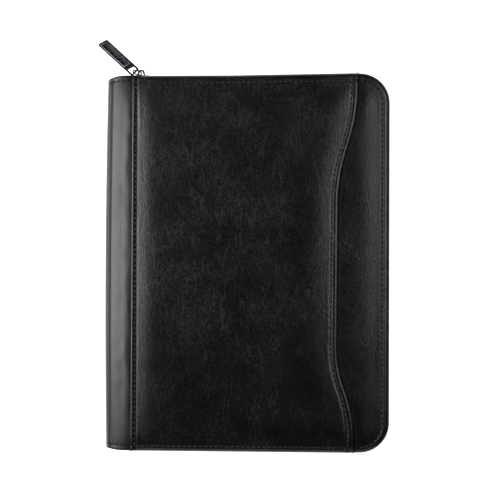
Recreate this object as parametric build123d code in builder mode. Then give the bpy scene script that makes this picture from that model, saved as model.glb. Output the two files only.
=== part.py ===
from build123d import *
from math import atan2, cos, degrees, radians, sin, tan
import os

# Zippered padfolio, closed, lying on its back cover with the front cover up.
# Origin at the middle of the back cover's flat face, spine towards -X, top edge towards +Y.

# Writing pad, letter size: the case is made round it
paper_width = 215.9
paper_height = 279.4
sheets_thickness = 5.1
pad_board_thickness = 0.8
header_thickness = 0.4
header_height = 18.0
pad_clearance = 0.3           # pad to the rim of its pocket

# Room round the pad
gutter = 26.8                 # spine side to the pad
head_room = 28.3              # pad to the top of the case
pad_pocket_side = 3.0         # zip side to the pad pocket's edge
pad_pocket_foot = 20.0        # bottom of the case to the pad pocket's edge
pad_pocket_rim = 2.0

# Case
case_width = gutter + paper_width + pad_clearance + pad_pocket_rim + pad_pocket_side
case_height = pad_pocket_foot + pad_pocket_rim + pad_clearance + paper_height + head_room
corner_radius = 26.0          # zip-side corners, seen from above
spine_corner_radius = 5.0     # spine ends, seen from above
zip_gap = 18.0                # clear height between the two linings

# Leather and stuffing of the covers
skin = 1.2                    # leather, turned and glued
edge_roll = 5.0               # rolled edge of the front cover
back_edge_roll = 4.0          # rolled edge of the back cover
board_thickness = 2.0         # stiffening board in each cover
lining_thickness = 1.0        # fabric lining in each cover
back_padding_thickness = 1.8
front_padding_thickness = 2.4
board_clearance = 0.3         # board to the leather wall round it

# Lapped seam beside the spine
lap_start = 23.0              # spine side to the cover panel's turned edge
lap_width = 5.0               # flat lap that is sewn through
lap_slope = 12.0              # run in which the padded cover sinks to the lap
lap_drop = 1.8                # how far it sinks
flap_tuck = 9.0               # spine leather hidden under the cover panel

# Spine
spine_width = 21.0            # depth of the rounded spine, seen from above
spine_radius = 9.0            # middle of the rounded spine
spine_stiffener_thickness = 1.0
spine_stiffener_margin = 6.0  # short of the spine's ends
spine_lining_thickness = 0.8
spine_lining_margin = 3.0
fold_gap = 0.1                # leather to leather at a fold

# Slash pocket in the front cover, measured in from the zip side
pocket_mouth = 46.0           # straight middle of the S-curved edge
pocket_mouth_top = 28.5       # where the edge meets the top of the case
pocket_mouth_bottom = 31.0    # where it meets the bottom
top_bend_inset = 13.0         # top of the case to the upper S-bend
top_bend_length = 101.0
bottom_bend_inset = 14.0      # bottom of the case to the lower S-bend
bottom_bend_length = 79.0
pocket_tuck = 20.0            # side panel hidden under the main panel
pocket_gap = 0.2              # the empty pocket lies flat
pocket_lining_thickness = 0.6

# Zip
tape_clearance = 0.2          # tape to the leather wall outside it
tape_thickness = 0.8
tape_flange = 7.6             # part of the tape sewn down under the lining
tape_end = 16.0               # spine side to the end of the tapes
coil_width = 2.2              # across the zip
coil_thickness = 2.4          # through the zip
coil_spread = 2.0             # between the two rows where the slider's post runs
back_coil_end = 23.0          # spine side to the end of the lower row
front_coil_end = 38.0         # spine side to the end of the upper row
stop_length = 2.4
stop_thickness = 2.0
stop_end = 18.8               # spine side to the outer end of the stops

# Zip slider
slider_position = 28.4        # spine side to its middle
slider_length = 14.0
slider_plate = 1.6
slider_flange = 1.2
slider_slot = 1.4             # slot that the tape runs through
slider_corner = 2.0
coil_clearance = 0.4          # coil to the inside of the slider
post_length = 3.0
post_width = 1.4
post_setback = 1.0

# Bail on the slider
bail_foot = 7.2               # length along the zip at its feet
bail_top = 4.8                # length along the zip at its top
bail_rise = 5.2
bail_strap = 1.2
bail_width = 2.4
bail_round = 1.0

# Link ring
wire_radius = 0.55
link_length = 7.6             # to the middle of the wire
link_height = 6.0
link_corner = 2.2
link_direction = 14.0         # degrees from the top edge, as it lies
link_roll = 25.0              # degrees it leans out from upright
link_clearance = 0.2          # ring to the slider's plate

# Pull tab
tab_length = 45.0             # from its pin to its tip
tab_width = 9.2
tab_thickness = 1.8
tab_pin = 1.5                 # round bar that hangs in the link ring
tab_window_length = 6.2       # from the middle of the pin
tab_leg = 1.8
tab_corner = 1.6
tab_slant = 21.0              # degrees that its tip and window are cut from square
tab_edge = 0.3
tab_direction = 42.5          # degrees from the top edge, as it lies
tab_droop = 17.5              # degrees down to the table
panel_margin = 1.6            # rim left round the sunk panel
panel_depth = 0.25
panel_end_margin = 2.2
panel_start = 10.3            # from the pin
pin_clearance = 0.25

# Pad pocket on the back lining
pad_pocket_panel = 0.8
pad_pocket_height = 115.0
pad_pocket_corner = 6.0
pad_layer_gap = 0.1           # between the layers of the pad and its pocket

# Pen loop
pen_radius = 5.2
loop_wall = 1.0
loop_length = 25.0
loop_foot = 6.0
loop_gap = 1.0                # loop to the pad

# Pockets on the front lining
document_panel = 1.0
document_depth = 0.8
document_rim = 3.0
document_start = 20.0         # spine side to the pocket's edge
document_end = 10.0           # zip side to the pocket's edge
document_foot = 20.0          # bottom of the case to the pocket's edge
document_height = 205.0
document_corner = 8.0
card_width = 104.0
card_panel = 0.8
card_height = 62.0            # of the lowest card pocket
card_step = 16.0
card_foot = 50.0              # above the document pocket's lower edge
card_start = 58.0             # from the document pocket's spine-side edge
card_corner = 4.0

# Edges and levels that follow
right_edge = case_width / 2
left_edge = -case_width / 2
top_edge = case_height / 2
front_roll = edge_roll
side_step = skin + pocket_gap
back_padding_top = skin + back_padding_thickness
back_board_top = back_padding_top + board_thickness
back_inner = back_board_top + lining_thickness
front_inner = back_inner + zip_gap
front_board_bottom = front_inner + lining_thickness
front_board_top = front_board_bottom + board_thickness
front_padding_top = front_board_top + front_padding_thickness
side_top = front_padding_top + skin
front_outer = side_top + pocket_gap + skin
middle_height = front_outer / 2
zip_height = (back_inner + front_inner) / 2

# Lapped seam, from the spine side
lap_left = left_edge + lap_start
lap_right = lap_left + lap_width
slope_right = lap_right + lap_slope
flap_right = lap_left + flap_tuck
cover_fill_left = flap_right + 1.0

# Section of the rounded spine: a large arc, the spine's own arc and the large arc again
flap_top = front_outer - lap_drop - skin
bend_x = left_edge + spine_width
spine_centre = (left_edge + spine_radius, middle_height)
flap_rise = flap_top - middle_height
flap_run = bend_x - spine_centre[0]
flap_radius = (flap_rise**2 + flap_run**2 - spine_radius**2) / (2 * (flap_rise - spine_radius))
flap_centre = (bend_x, flap_top - flap_radius)
fold_angle = degrees(atan2(flap_run, spine_centre[1] - flap_centre[1]))
fold_x = flap_centre[0] - flap_radius * sin(radians(fold_angle))
front_fold_z = flap_centre[1] + flap_radius * cos(radians(fold_angle))
back_fold_z = 2 * middle_height - front_fold_z

# Zip layout
tape_outer = skin + tape_clearance
tape_inner = tape_outer + tape_thickness
flange_inner = tape_outer + tape_flange
lining_inset = flange_inner + tape_clearance
tape_middle = tape_outer + tape_thickness / 2
tape_left = left_edge + tape_end
coil_outer = tape_middle - coil_thickness / 2
coil_inner = tape_middle + coil_thickness / 2
back_coil_bottom = zip_height - coil_spread / 2 - coil_width
front_coil_bottom = zip_height + coil_spread / 2
front_coil_top = front_coil_bottom + coil_width
zip_line = top_edge - tape_middle

# Slider, bail, link ring and tab
slider_x = left_edge + slider_position
cavity_height = coil_thickness + 2 * coil_clearance
cavity_width = coil_spread + 2 * coil_width + 2 * coil_clearance
slider_width = cavity_width + 2 * slider_flange
slider_height = cavity_height + 2 * slider_plate
plate_top = zip_line + slider_height / 2
bail_hole = bail_rise - bail_strap
link_y = plate_top + link_height / 2 * sin(radians(link_roll)) + wire_radius + link_clearance
pin_slant = radians(tab_direction - link_direction)
pin_distance = link_length - (wire_radius + pin_clearance + tab_pin / 2) / cos(pin_slant)
link_along = (-cos(radians(link_direction)), sin(radians(link_direction)))
along = (-cos(radians(tab_direction)), sin(radians(tab_direction)))
link_origin = (slider_x, link_y, zip_height)
pin_origin = (slider_x + pin_distance * link_along[0], link_y + pin_distance * link_along[1], zip_height)
tab_axis = (
    along[0] * cos(radians(tab_droop)),
    along[1] * cos(radians(tab_droop)),
    -sin(radians(tab_droop)),
)
tab_normal = (
    along[0] * sin(radians(tab_droop)),
    along[1] * sin(radians(tab_droop)),
    cos(radians(tab_droop)),
)
link_facing = (
    link_along[1] * cos(radians(link_roll)),
    -link_along[0] * cos(radians(link_roll)),
    -sin(radians(link_roll)),
)
link_plane = Plane(origin=link_origin, x_dir=(*link_along, 0), z_dir=link_facing)
tab_plane = Plane(origin=pin_origin, x_dir=tab_axis, z_dir=tab_normal)
tab_half = tab_width / 2
window_half = tab_half - tab_leg
panel_half = tab_half - panel_margin
skew = tan(radians(tab_slant))
slider_plane = Plane(origin=(slider_x, zip_line, zip_height), x_dir=(1, 0, 0), z_dir=(0, 1, 0))

# Pad and inner pockets
pad_pocket_right = right_edge - pad_pocket_side
pad_right = pad_pocket_right - pad_pocket_rim - pad_clearance
pad_left = pad_right - paper_width
pad_pocket_left = pad_left - pad_clearance - pad_pocket_rim
pad_pocket_bottom = -top_edge + pad_pocket_foot
pad_bottom = pad_pocket_bottom + pad_pocket_rim + pad_clearance
pad_top = pad_bottom + paper_height
pad_board_bottom = back_inner + pad_layer_gap
pad_cavity_top = pad_board_bottom + pad_board_thickness + pad_layer_gap
sheets_bottom = pad_cavity_top + pad_pocket_panel + pad_layer_gap
sheets_top = sheets_bottom + sheets_thickness
document_left = left_edge + document_start
document_right = right_edge - document_end
document_bottom = -top_edge + document_foot
document_top = document_bottom + document_height
document_face = front_inner - document_depth - document_panel
card_left = document_left + card_start
card_bottom = document_bottom + card_foot


# Outlines and forms that repeat
def cover_plan(left, inset):
    """Outline of a cover layer: square at the spine side, round at the zip-side corners."""
    width = right_edge - inset - left
    with BuildSketch() as plan:
        with Locations((left + width / 2, 0)):
            Rectangle(width, case_height - 2 * inset)
        fillet(plan.vertices().group_by(Axis.X)[-1], corner_radius - inset)
    return plan.sketch


def cover_block(left, inset, inner, outer, roll):
    """Cover form from its inner to its outer level, rolled outside and sunk to the lap."""
    up = 1 if outer > inner else -1
    with BuildPart() as block:
        with BuildSketch(Plane.XY.offset(inner)):
            add(cover_plan(left, inset))
        extrude(amount=outer - inner)
        rim = block.faces().sort_by(Axis.Z)[-1 if up > 0 else 0].edges()
        fillet(rim.sort_by(Axis.X)[1:], roll)
        with BuildSketch(Plane.XZ):
            with BuildLine():
                Polyline(
                    (left_edge, outer - up * lap_drop),
                    (lap_right, outer - up * lap_drop),
                    (slope_right, outer),
                    (slope_right, outer + up),
                    (left_edge, outer + up),
                    close=True,
                )
            make_face()
        extrude(amount=case_height, both=True, mode=Mode.SUBTRACT)
    return block.part


def beyond_mouth(shift):
    """Area on the zip side of the pocket's S-curved edge, moved along X by the shift."""
    top_bend_start = top_edge - top_bend_inset
    top_bend_end = top_bend_start - top_bend_length
    bottom_bend_end = -top_edge + bottom_bend_inset
    bottom_bend_start = bottom_bend_end + bottom_bend_length
    top_x = right_edge - pocket_mouth_top + shift
    middle_x = right_edge - pocket_mouth + shift
    bottom_x = right_edge - pocket_mouth_bottom + shift
    far_x = right_edge + corner_radius
    top_middle = ((top_x + middle_x) / 2, (top_bend_start + top_bend_end) / 2)
    bottom_middle = ((middle_x + bottom_x) / 2, (bottom_bend_start + bottom_bend_end) / 2)
    with BuildSketch() as area:
        with BuildLine():
            top_run = Line((top_x, case_height), (top_x, top_bend_start))
            first = TangentArc(top_run @ 1, top_middle, tangent=(0, -1))
            second = TangentArc(first @ 1, (middle_x, top_bend_end), tangent=first % 1)
            middle_run = Line(second @ 1, (middle_x, bottom_bend_start))
            third = TangentArc(middle_run @ 1, bottom_middle, tangent=(0, -1))
            fourth = TangentArc(third @ 1, (bottom_x, bottom_bend_end), tangent=third % 1)
            bottom_run = Line(fourth @ 1, (bottom_x, -case_height))
            Polyline(bottom_run @ 1, (far_x, -case_height), (far_x, case_height), top_run @ 0)
        make_face()
    return area.sketch


def track(left, outer, inner):
    """U-shaped band round the zip's three sides, between two insets from the cover's edge."""
    with BuildSketch() as band:
        add(cover_plan(left, outer))
        add(cover_plan(left_edge, inner), mode=Mode.SUBTRACT)
    return band.sketch


def arc_band(centre, outer, depth, start, size):
    """Part of a ring: the section of a bent layer of the spine."""
    with BuildSketch() as band:
        with BuildLine():
            outside = CenterArc(centre, outer, start, size)
            inside = CenterArc(centre, outer - depth, start, size)
            Line(outside @ 0, inside @ 0)
            Line(outside @ 1, inside @ 1)
        make_face()
    return band.sketch


def spine_plan():
    """Outline that rounds the spine's two ends, seen from above."""
    with BuildSketch() as plan:
        with Locations((0, 0)):
            Rectangle(case_width, case_height)
        fillet(plan.vertices().group_by(Axis.X)[0], spine_corner_radius)
    return plan.sketch


# Back cover
with BuildPart() as back_cover_panel:
    add(cover_block(lap_left, 0, back_inner, 0, back_edge_roll))
    add(cover_block(left_edge, skin, back_inner, skin, back_edge_roll - skin), mode=Mode.SUBTRACT)

with BuildPart() as back_padding:
    with BuildSketch(Plane.XY.offset(skin)):
        add(cover_plan(slope_right, back_edge_roll))
    extrude(amount=back_padding_thickness)

with BuildPart() as back_board:
    with BuildSketch(Plane.XY.offset(back_padding_top)):
        add(cover_plan(cover_fill_left, skin + board_clearance))
    extrude(amount=board_thickness)

with BuildPart() as back_lining:
    with BuildSketch(Plane.XY.offset(back_board_top)):
        add(cover_plan(tape_left, lining_inset))
    extrude(amount=lining_thickness)

# Front cover
with BuildPart() as front_main_panel:
    add(cover_block(lap_left, 0, front_inner, front_outer, front_roll))
    add(
        cover_block(left_edge, skin, front_inner, front_outer - skin, front_roll - skin),
        mode=Mode.SUBTRACT,
    )
    with BuildSketch(Plane.XY.offset(front_inner)):
        add(beyond_mouth(0))
    extrude(amount=front_outer - front_inner, mode=Mode.SUBTRACT)

with BuildPart() as front_side_panel:
    add(cover_block(lap_left, 0, front_inner, side_top, front_roll - side_step))
    add(
        cover_block(left_edge, skin, front_inner, front_padding_top, front_roll - side_step - skin),
        mode=Mode.SUBTRACT,
    )
    with BuildSketch(Plane.XY.offset(front_inner)):
        add(beyond_mouth(tape_clearance))
    extrude(amount=front_outer - front_inner, mode=Mode.INTERSECT)
    with BuildSketch(Plane.XY.offset(front_padding_top)):
        add(beyond_mouth(-pocket_tuck))
        add(cover_plan(slope_right, front_roll), mode=Mode.INTERSECT)
    extrude(amount=skin)

with BuildPart() as front_pocket_lining:
    with BuildSketch(Plane.XY.offset(front_padding_top)):
        add(cover_plan(slope_right, front_roll))
        add(beyond_mouth(-pocket_tuck - pocket_gap), mode=Mode.SUBTRACT)
    extrude(amount=pocket_lining_thickness)

with BuildPart() as front_padding:
    with BuildSketch(Plane.XY.offset(front_board_top)):
        add(cover_plan(slope_right, front_roll))
    extrude(amount=front_padding_thickness)

with BuildPart() as front_board:
    with BuildSketch(Plane.XY.offset(front_board_bottom)):
        add(cover_plan(cover_fill_left, skin + board_clearance))
    extrude(amount=board_thickness)

with BuildPart() as front_lining:
    with BuildSketch(Plane.XY.offset(front_inner)):
        add(cover_plan(tape_left, lining_inset))
    extrude(amount=lining_thickness)

# Spine leather in three strips that part at the folds
flap_sweep = fold_angle - degrees(fold_gap / flap_radius)
with BuildPart() as front_spine_flap:
    with BuildSketch(Plane.XZ):
        add(arc_band(flap_centre, flap_radius, skin, 90, flap_sweep))
        with Locations(((bend_x + lap_left) / 2, flap_top - skin / 2)):
            Rectangle(lap_left - bend_x, skin)
    extrude(amount=case_height / 2, both=True)
    with BuildSketch():
        add(spine_plan())
    extrude(amount=front_outer, mode=Mode.INTERSECT)
    with BuildSketch(Plane.XZ):
        with Locations(((lap_left + flap_right) / 2, flap_top - skin / 2)):
            Rectangle(flap_right - lap_left, skin)
    extrude(amount=case_height / 2 - front_roll, both=True)

with BuildPart() as back_spine_flap:
    mirror(front_spine_flap.part, about=Plane.XY.offset(middle_height))

spine_start = 90 + fold_angle + degrees(fold_gap / spine_radius)
with BuildPart() as spine_skin:
    with BuildSketch(Plane.XZ):
        add(arc_band(spine_centre, spine_radius, skin, spine_start, 360 - 2 * spine_start))
    extrude(amount=case_height / 2, both=True)
    with BuildSketch():
        add(spine_plan())
    extrude(amount=front_outer, mode=Mode.INTERSECT)

stiffener_start = spine_start + degrees(spine_stiffener_thickness / spine_radius)
with BuildPart() as spine_stiffener:
    with BuildSketch(Plane.XZ):
        add(
            arc_band(
                spine_centre,
                spine_radius - skin,
                spine_stiffener_thickness,
                stiffener_start,
                360 - 2 * stiffener_start,
            )
        )
    extrude(amount=case_height / 2 - spine_stiffener_margin, both=True)

with BuildPart() as spine_lining:
    with BuildSketch(Plane.XZ):
        add(
            arc_band(
                spine_centre,
                spine_radius - skin - spine_stiffener_thickness,
                spine_lining_thickness,
                stiffener_start,
                360 - 2 * stiffener_start,
            )
        )
    extrude(amount=case_height / 2 - spine_lining_margin, both=True)

# Zip tapes, each an upright band with a flange sewn down inside its cover
with BuildPart() as zip_tape_back:
    with BuildSketch(Plane.XY.offset(back_board_top)):
        add(track(tape_left, tape_outer, flange_inner))
    extrude(amount=tape_thickness)
    with BuildSketch(Plane.XY.offset(back_board_top)):
        add(track(tape_left, tape_outer, tape_inner))
    extrude(amount=back_coil_bottom - back_board_top)

with BuildPart() as zip_tape_front:
    with BuildSketch(Plane.XY.offset(front_board_bottom)):
        add(track(tape_left, tape_outer, flange_inner))
    extrude(amount=-tape_thickness)
    with BuildSketch(Plane.XY.offset(front_board_bottom)):
        add(track(tape_left, tape_outer, tape_inner))
    extrude(amount=front_coil_top - front_board_bottom)

with BuildPart() as zip_coil_back:
    with BuildSketch(Plane.XY.offset(back_coil_bottom)):
        add(track(left_edge + back_coil_end, coil_outer, coil_inner))
    extrude(amount=coil_width)

with BuildPart() as zip_coil_front:
    with BuildSketch(Plane.XY.offset(front_coil_bottom)):
        add(track(left_edge + front_coil_end, coil_outer, coil_inner))
    extrude(amount=coil_width)

# Stops at the ends of the zip
stop_x = left_edge + stop_end + stop_length / 2
with BuildPart() as zip_top_stop_back:
    with BuildSketch(Plane.XY.offset(back_coil_bottom)):
        with Locations((stop_x, zip_line)):
            RectangleRounded(stop_length, stop_thickness, stop_thickness / 4)
    extrude(amount=coil_width)

with BuildPart() as zip_top_stop_front:
    with BuildSketch(Plane.XY.offset(front_coil_bottom)):
        with Locations((stop_x, zip_line)):
            RectangleRounded(stop_length, stop_thickness, stop_thickness / 4)
    extrude(amount=coil_width)

with BuildPart() as zip_bottom_stop:
    with BuildSketch(Plane.XY.offset(back_coil_bottom)):
        with Locations((stop_x, -zip_line)):
            RectangleRounded(stop_length, stop_thickness, stop_thickness / 4)
    extrude(amount=front_coil_top - back_coil_bottom)

# Slider: two plates joined by a post, with flanges that leave a slot for the tapes
with BuildPart() as zip_slider_body:
    with BuildSketch(slider_plane):
        RectangleRounded(slider_length, slider_width, slider_corner)
    extrude(amount=slider_height / 2, both=True)
    with BuildSketch(slider_plane):
        Rectangle(2 * slider_length, cavity_width)
    extrude(amount=cavity_height / 2, both=True, mode=Mode.SUBTRACT)
    with BuildSketch(slider_plane):
        Rectangle(2 * slider_length, 2 * slider_width)
    extrude(amount=slider_slot / 2, both=True, mode=Mode.SUBTRACT)
    with BuildSketch(slider_plane):
        with Locations((post_setback + post_length / 2 - slider_length / 2, 0)):
            RectangleRounded(post_length, post_width, post_width / 3)
    extrude(amount=slider_height / 2 - slider_plate / 2, both=True)

with BuildPart() as zip_slider_bail:
    with BuildSketch(Plane.XY.offset(zip_height - bail_width / 2)) as bail_side:
        with BuildLine():
            Polyline(
                (slider_x - bail_foot / 2, plate_top),
                (slider_x - bail_top / 2, plate_top + bail_rise),
                (slider_x + bail_top / 2, plate_top + bail_rise),
                (slider_x + bail_foot / 2, plate_top),
                close=True,
            )
        make_face()
        fillet(bail_side.vertices().group_by(Axis.Y)[-1], bail_round)
        with BuildLine():
            Polyline(
                (slider_x - bail_foot / 2 + bail_strap, plate_top),
                (slider_x - bail_top / 2 + bail_strap, plate_top + bail_hole),
                (slider_x + bail_top / 2 - bail_strap, plate_top + bail_hole),
                (slider_x + bail_foot / 2 - bail_strap, plate_top),
                close=True,
            )
        make_face(mode=Mode.SUBTRACT)
    extrude(amount=bail_width)

# Link ring through the bail and round the tab's pin, swept in two halves
with BuildPart() as pull_link_ring:
    for end_x, turn in ((0, 1), (link_length, -1)):
        with BuildLine(link_plane) as link_half:
            FilletPolyline(
                (link_length / 2, turn * link_height / 2),
                (end_x, turn * link_height / 2),
                (end_x, -turn * link_height / 2),
                (link_length / 2, -turn * link_height / 2),
                radius=link_corner,
            )
        half_start = link_half.wire()
        with BuildSketch(Plane(origin=half_start @ 0, z_dir=half_start % 0)):
            Circle(wire_radius)
        sweep(path=half_start)

# Pull tab with its window and its round pin
with BuildPart() as zip_pull_tab:
    with BuildSketch(tab_plane) as tab_plan:
        with BuildLine():
            Polyline(
                (-tab_thickness / 2, -tab_half),
                (tab_length - tab_half * skew, -tab_half),
                (tab_length + tab_half * skew, tab_half),
                (-tab_thickness / 2, tab_half),
                close=True,
            )
        make_face()
        fillet(tab_plan.vertices(), tab_corner)
        with BuildLine():
            Polyline(
                (-tab_thickness, -window_half),
                (tab_window_length - window_half * skew, -window_half),
                (tab_window_length + window_half * skew, window_half),
                (-tab_thickness, window_half),
                close=True,
            )
        make_face(mode=Mode.SUBTRACT)
    extrude(amount=tab_thickness / 2, both=True)
    long_edges = zip_pull_tab.edges().filter_by(GeomType.LINE).filter_by(lambda edge: edge.length > tab_length / 2)
    fillet(long_edges, tab_edge)
    with BuildSketch(tab_plane.offset(tab_thickness / 2)):
        with BuildLine():
            Polyline(
                (panel_start - panel_half * skew, -panel_half),
                (tab_length - panel_end_margin - panel_half * skew, -panel_half),
                (tab_length - panel_end_margin + panel_half * skew, panel_half),
                (panel_start + panel_half * skew, panel_half),
                close=True,
            )
        make_face()
    extrude(amount=-panel_depth, mode=Mode.SUBTRACT)
    with BuildSketch(Plane(origin=pin_origin, x_dir=tab_axis, z_dir=tab_plane.y_dir)):
        Circle(tab_pin / 2)
    extrude(amount=tab_width / 2 - tab_leg / 2, both=True)

# Writing pad
with BuildPart() as pad_backing_board:
    with BuildSketch(Plane.XY.offset(pad_board_bottom)):
        with Locations((pad_left + paper_width / 2, pad_bottom + paper_height / 2)):
            Rectangle(paper_width, paper_height)
    extrude(amount=pad_board_thickness)

with BuildPart() as pad_sheets:
    with BuildSketch(Plane.XY.offset(sheets_bottom)):
        with Locations((pad_left + paper_width / 2, pad_bottom + paper_height / 2)):
            Rectangle(paper_width, paper_height)
    extrude(amount=sheets_thickness)

with BuildPart() as pad_header_tape:
    with BuildSketch(Plane.YZ.offset(pad_left)):
        with BuildLine():
            Polyline(
                (pad_top - header_height, sheets_top),
                (pad_top - header_height, sheets_top + header_thickness),
                (pad_top + header_thickness, sheets_top + header_thickness),
                (pad_top + header_thickness, pad_board_bottom),
                (pad_top, pad_board_bottom),
                (pad_top, sheets_top),
                close=True,
            )
        make_face()
    extrude(amount=paper_width)

# Pad pocket, sewn to the back lining on three sides and open towards the top
with BuildPart() as pad_pocket:
    pocket_width = pad_pocket_right - pad_pocket_left
    pocket_centre = pad_pocket_left + pocket_width / 2
    with BuildSketch(Plane.XY.offset(back_inner)) as pad_pocket_plan:
        with Locations((pocket_centre, pad_pocket_bottom + pad_pocket_height / 2)):
            Rectangle(pocket_width, pad_pocket_height)
        fillet(pad_pocket_plan.vertices().group_by(Axis.Y)[0], pad_pocket_corner)
    extrude(amount=pad_cavity_top + pad_pocket_panel - back_inner)
    with BuildSketch(Plane.XY.offset(back_inner)):
        with Locations((pocket_centre, pad_pocket_bottom + pad_pocket_rim + pad_pocket_height / 2)):
            Rectangle(pocket_width - 2 * pad_pocket_rim, pad_pocket_height)
    extrude(amount=pad_cavity_top - back_inner, mode=Mode.SUBTRACT)

# Pen loop on the back lining, beside the pad
with BuildPart() as pen_loop:
    loop_x = pad_left - loop_gap - loop_wall - pen_radius
    loop_z = back_inner + loop_wall + pen_radius
    with BuildSketch(Plane.XZ):
        with Locations((loop_x, loop_z)):
            Circle(pen_radius + loop_wall)
        with Locations((loop_x, back_inner + loop_wall / 2)):
            Rectangle(loop_foot, loop_wall)
        with Locations((loop_x, loop_z)):
            Circle(pen_radius, mode=Mode.SUBTRACT)
    extrude(amount=loop_length / 2, both=True)

# Document pocket, sewn to the front lining on three sides and open towards the top
with BuildPart() as document_pocket:
    document_width = document_right - document_left
    document_x = document_left + document_width / 2
    with BuildSketch(Plane.XY.offset(document_face)) as document_plan:
        with Locations((document_x, document_bottom + document_height / 2)):
            Rectangle(document_width, document_height)
        fillet(document_plan.vertices().group_by(Axis.Y)[0], document_corner)
    extrude(amount=document_panel + document_depth)
    with BuildSketch(Plane.XY.offset(document_face + document_panel)):
        with Locations((document_x, document_bottom + document_rim + document_height / 2)):
            Rectangle(document_width - 2 * document_rim, document_height)
    extrude(amount=document_depth, mode=Mode.SUBTRACT)


def card_pocket_plan(level):
    """Outline of one of the stepped card pockets; each level is a step shorter than the last."""
    height = card_height + (2 - level) * card_step
    with BuildSketch() as plan:
        with Locations((card_left + card_width / 2, card_bottom + height / 2)):
            RectangleRounded(card_width, height, card_corner)
    return plan.sketch


with BuildPart() as card_pocket_upper:
    with BuildSketch(Plane.XY.offset(document_face)):
        add(card_pocket_plan(0))
    extrude(amount=-card_panel)

with BuildPart() as card_pocket_middle:
    with BuildSketch(Plane.XY.offset(document_face - card_panel)):
        add(card_pocket_plan(1))
    extrude(amount=-card_panel)

with BuildPart() as card_pocket_lower:
    with BuildSketch(Plane.XY.offset(document_face - 2 * card_panel)):
        add(card_pocket_plan(2))
    extrude(amount=-card_panel)

# Write each piece to its own file
pieces = {
    "back_cover_panel": back_cover_panel,
    "back_spine_flap": back_spine_flap,
    "back_padding": back_padding,
    "back_board": back_board,
    "back_lining": back_lining,
    "pad_pocket": pad_pocket,
    "pen_loop": pen_loop,
    "zip_tape_back": zip_tape_back,
    "zip_coil_back": zip_coil_back,
    "zip_top_stop_back": zip_top_stop_back,
    "zip_bottom_stop": zip_bottom_stop,
    "spine_skin": spine_skin,
    "spine_stiffener": spine_stiffener,
    "spine_lining": spine_lining,
    "front_main_panel": front_main_panel,
    "front_side_panel": front_side_panel,
    "front_pocket_lining": front_pocket_lining,
    "front_spine_flap": front_spine_flap,
    "front_padding": front_padding,
    "front_board": front_board,
    "front_lining": front_lining,
    "document_pocket": document_pocket,
    "card_pocket_upper": card_pocket_upper,
    "card_pocket_middle": card_pocket_middle,
    "card_pocket_lower": card_pocket_lower,
    "zip_tape_front": zip_tape_front,
    "zip_coil_front": zip_coil_front,
    "zip_top_stop_front": zip_top_stop_front,
    "zip_slider_body": zip_slider_body,
    "zip_slider_bail": zip_slider_bail,
    "pull_link_ring": pull_link_ring,
    "zip_pull_tab": zip_pull_tab,
    "pad_backing_board": pad_backing_board,
    "pad_sheets": pad_sheets,
    "pad_header_tape": pad_header_tape,
}
os.makedirs("parts", exist_ok=True)
for label, piece in pieces.items():
    piece.part.label = label
    export_step(piece.part, f"parts/{label}.step")
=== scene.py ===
import logging
import math
from contextlib import contextmanager
from dataclasses import dataclass
from enum import Enum
from functools import partial
from typing import Callable, Iterator

import bpy
import numpy as np
from mathutils import Euler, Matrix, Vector, noise


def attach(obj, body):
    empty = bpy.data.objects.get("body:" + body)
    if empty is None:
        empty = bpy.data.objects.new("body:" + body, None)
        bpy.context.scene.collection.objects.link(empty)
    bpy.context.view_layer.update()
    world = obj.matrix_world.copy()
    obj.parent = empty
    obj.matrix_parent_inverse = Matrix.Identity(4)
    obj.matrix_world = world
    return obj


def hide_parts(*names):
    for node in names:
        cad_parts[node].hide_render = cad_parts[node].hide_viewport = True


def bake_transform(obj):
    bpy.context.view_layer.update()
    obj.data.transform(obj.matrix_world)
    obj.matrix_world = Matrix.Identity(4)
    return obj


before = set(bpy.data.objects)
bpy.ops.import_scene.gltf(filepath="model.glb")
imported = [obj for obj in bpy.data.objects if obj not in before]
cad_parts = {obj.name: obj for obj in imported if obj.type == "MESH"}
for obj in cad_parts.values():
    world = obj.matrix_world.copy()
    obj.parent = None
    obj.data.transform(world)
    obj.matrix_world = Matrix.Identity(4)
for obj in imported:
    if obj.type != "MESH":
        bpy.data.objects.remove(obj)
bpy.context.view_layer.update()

MM = 0.001
LOG = logging.getLogger("padfolio")
Array = np.ndarray
Placed = tuple[Array, dict[str, Array]]
Piece = bpy.types.Object
Material = bpy.types.Material


class Body(str, Enum):
    """The case's moving bodies."""

    BACK = "back_cover"
    SPINE = "spine"
    FRONT = "front_cover"
    TAB = "pull_tab"
    PAD = "writing_pad"


class Face(Enum):
    """Which half of the case a piece belongs to, and which way its outside looks."""

    FRONT = 1
    BACK = -1

    @property
    def body(self) -> Body:
        """The cover that carries this half's pieces."""
        return Body.FRONT if self is Face.FRONT else Body.BACK

    @property
    def side(self) -> str:
        """This half's word in the names of pieces and solids."""
        return self.name.lower()


# Small modelling helpers


def clear_selection() -> None:
    """Leaves object mode on and nothing selected."""
    if bpy.context.object is not None and bpy.context.object.mode != "OBJECT":
        bpy.ops.object.mode_set(mode="OBJECT")
    bpy.ops.object.select_all(action="DESELECT")


@contextmanager
def edit_mode() -> Iterator[None]:
    """Opens the active piece with all of it selected, and closes it again.

    Returns:
        A context in which the piece is open.
    """
    bpy.ops.object.mode_set(mode="EDIT")
    bpy.ops.mesh.select_all(action="SELECT")
    yield
    bpy.ops.object.mode_set(mode="OBJECT")


def columns_of(*parts: Array | float) -> Array:
    """Puts lists of x, y and z side by side as points."""
    return np.stack(np.broadcast_arrays(*parts), axis=1)


def get_points(piece: Piece) -> Array:
    """Reads a piece's points as they are stored.

    Args:
        piece: The piece.

    Returns:
        One row of x, y and z for each point.
    """
    flat = np.empty(len(piece.data.vertices) * 3)
    piece.data.vertices.foreach_get("co", flat)
    return flat.reshape(-1, 3)


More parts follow.
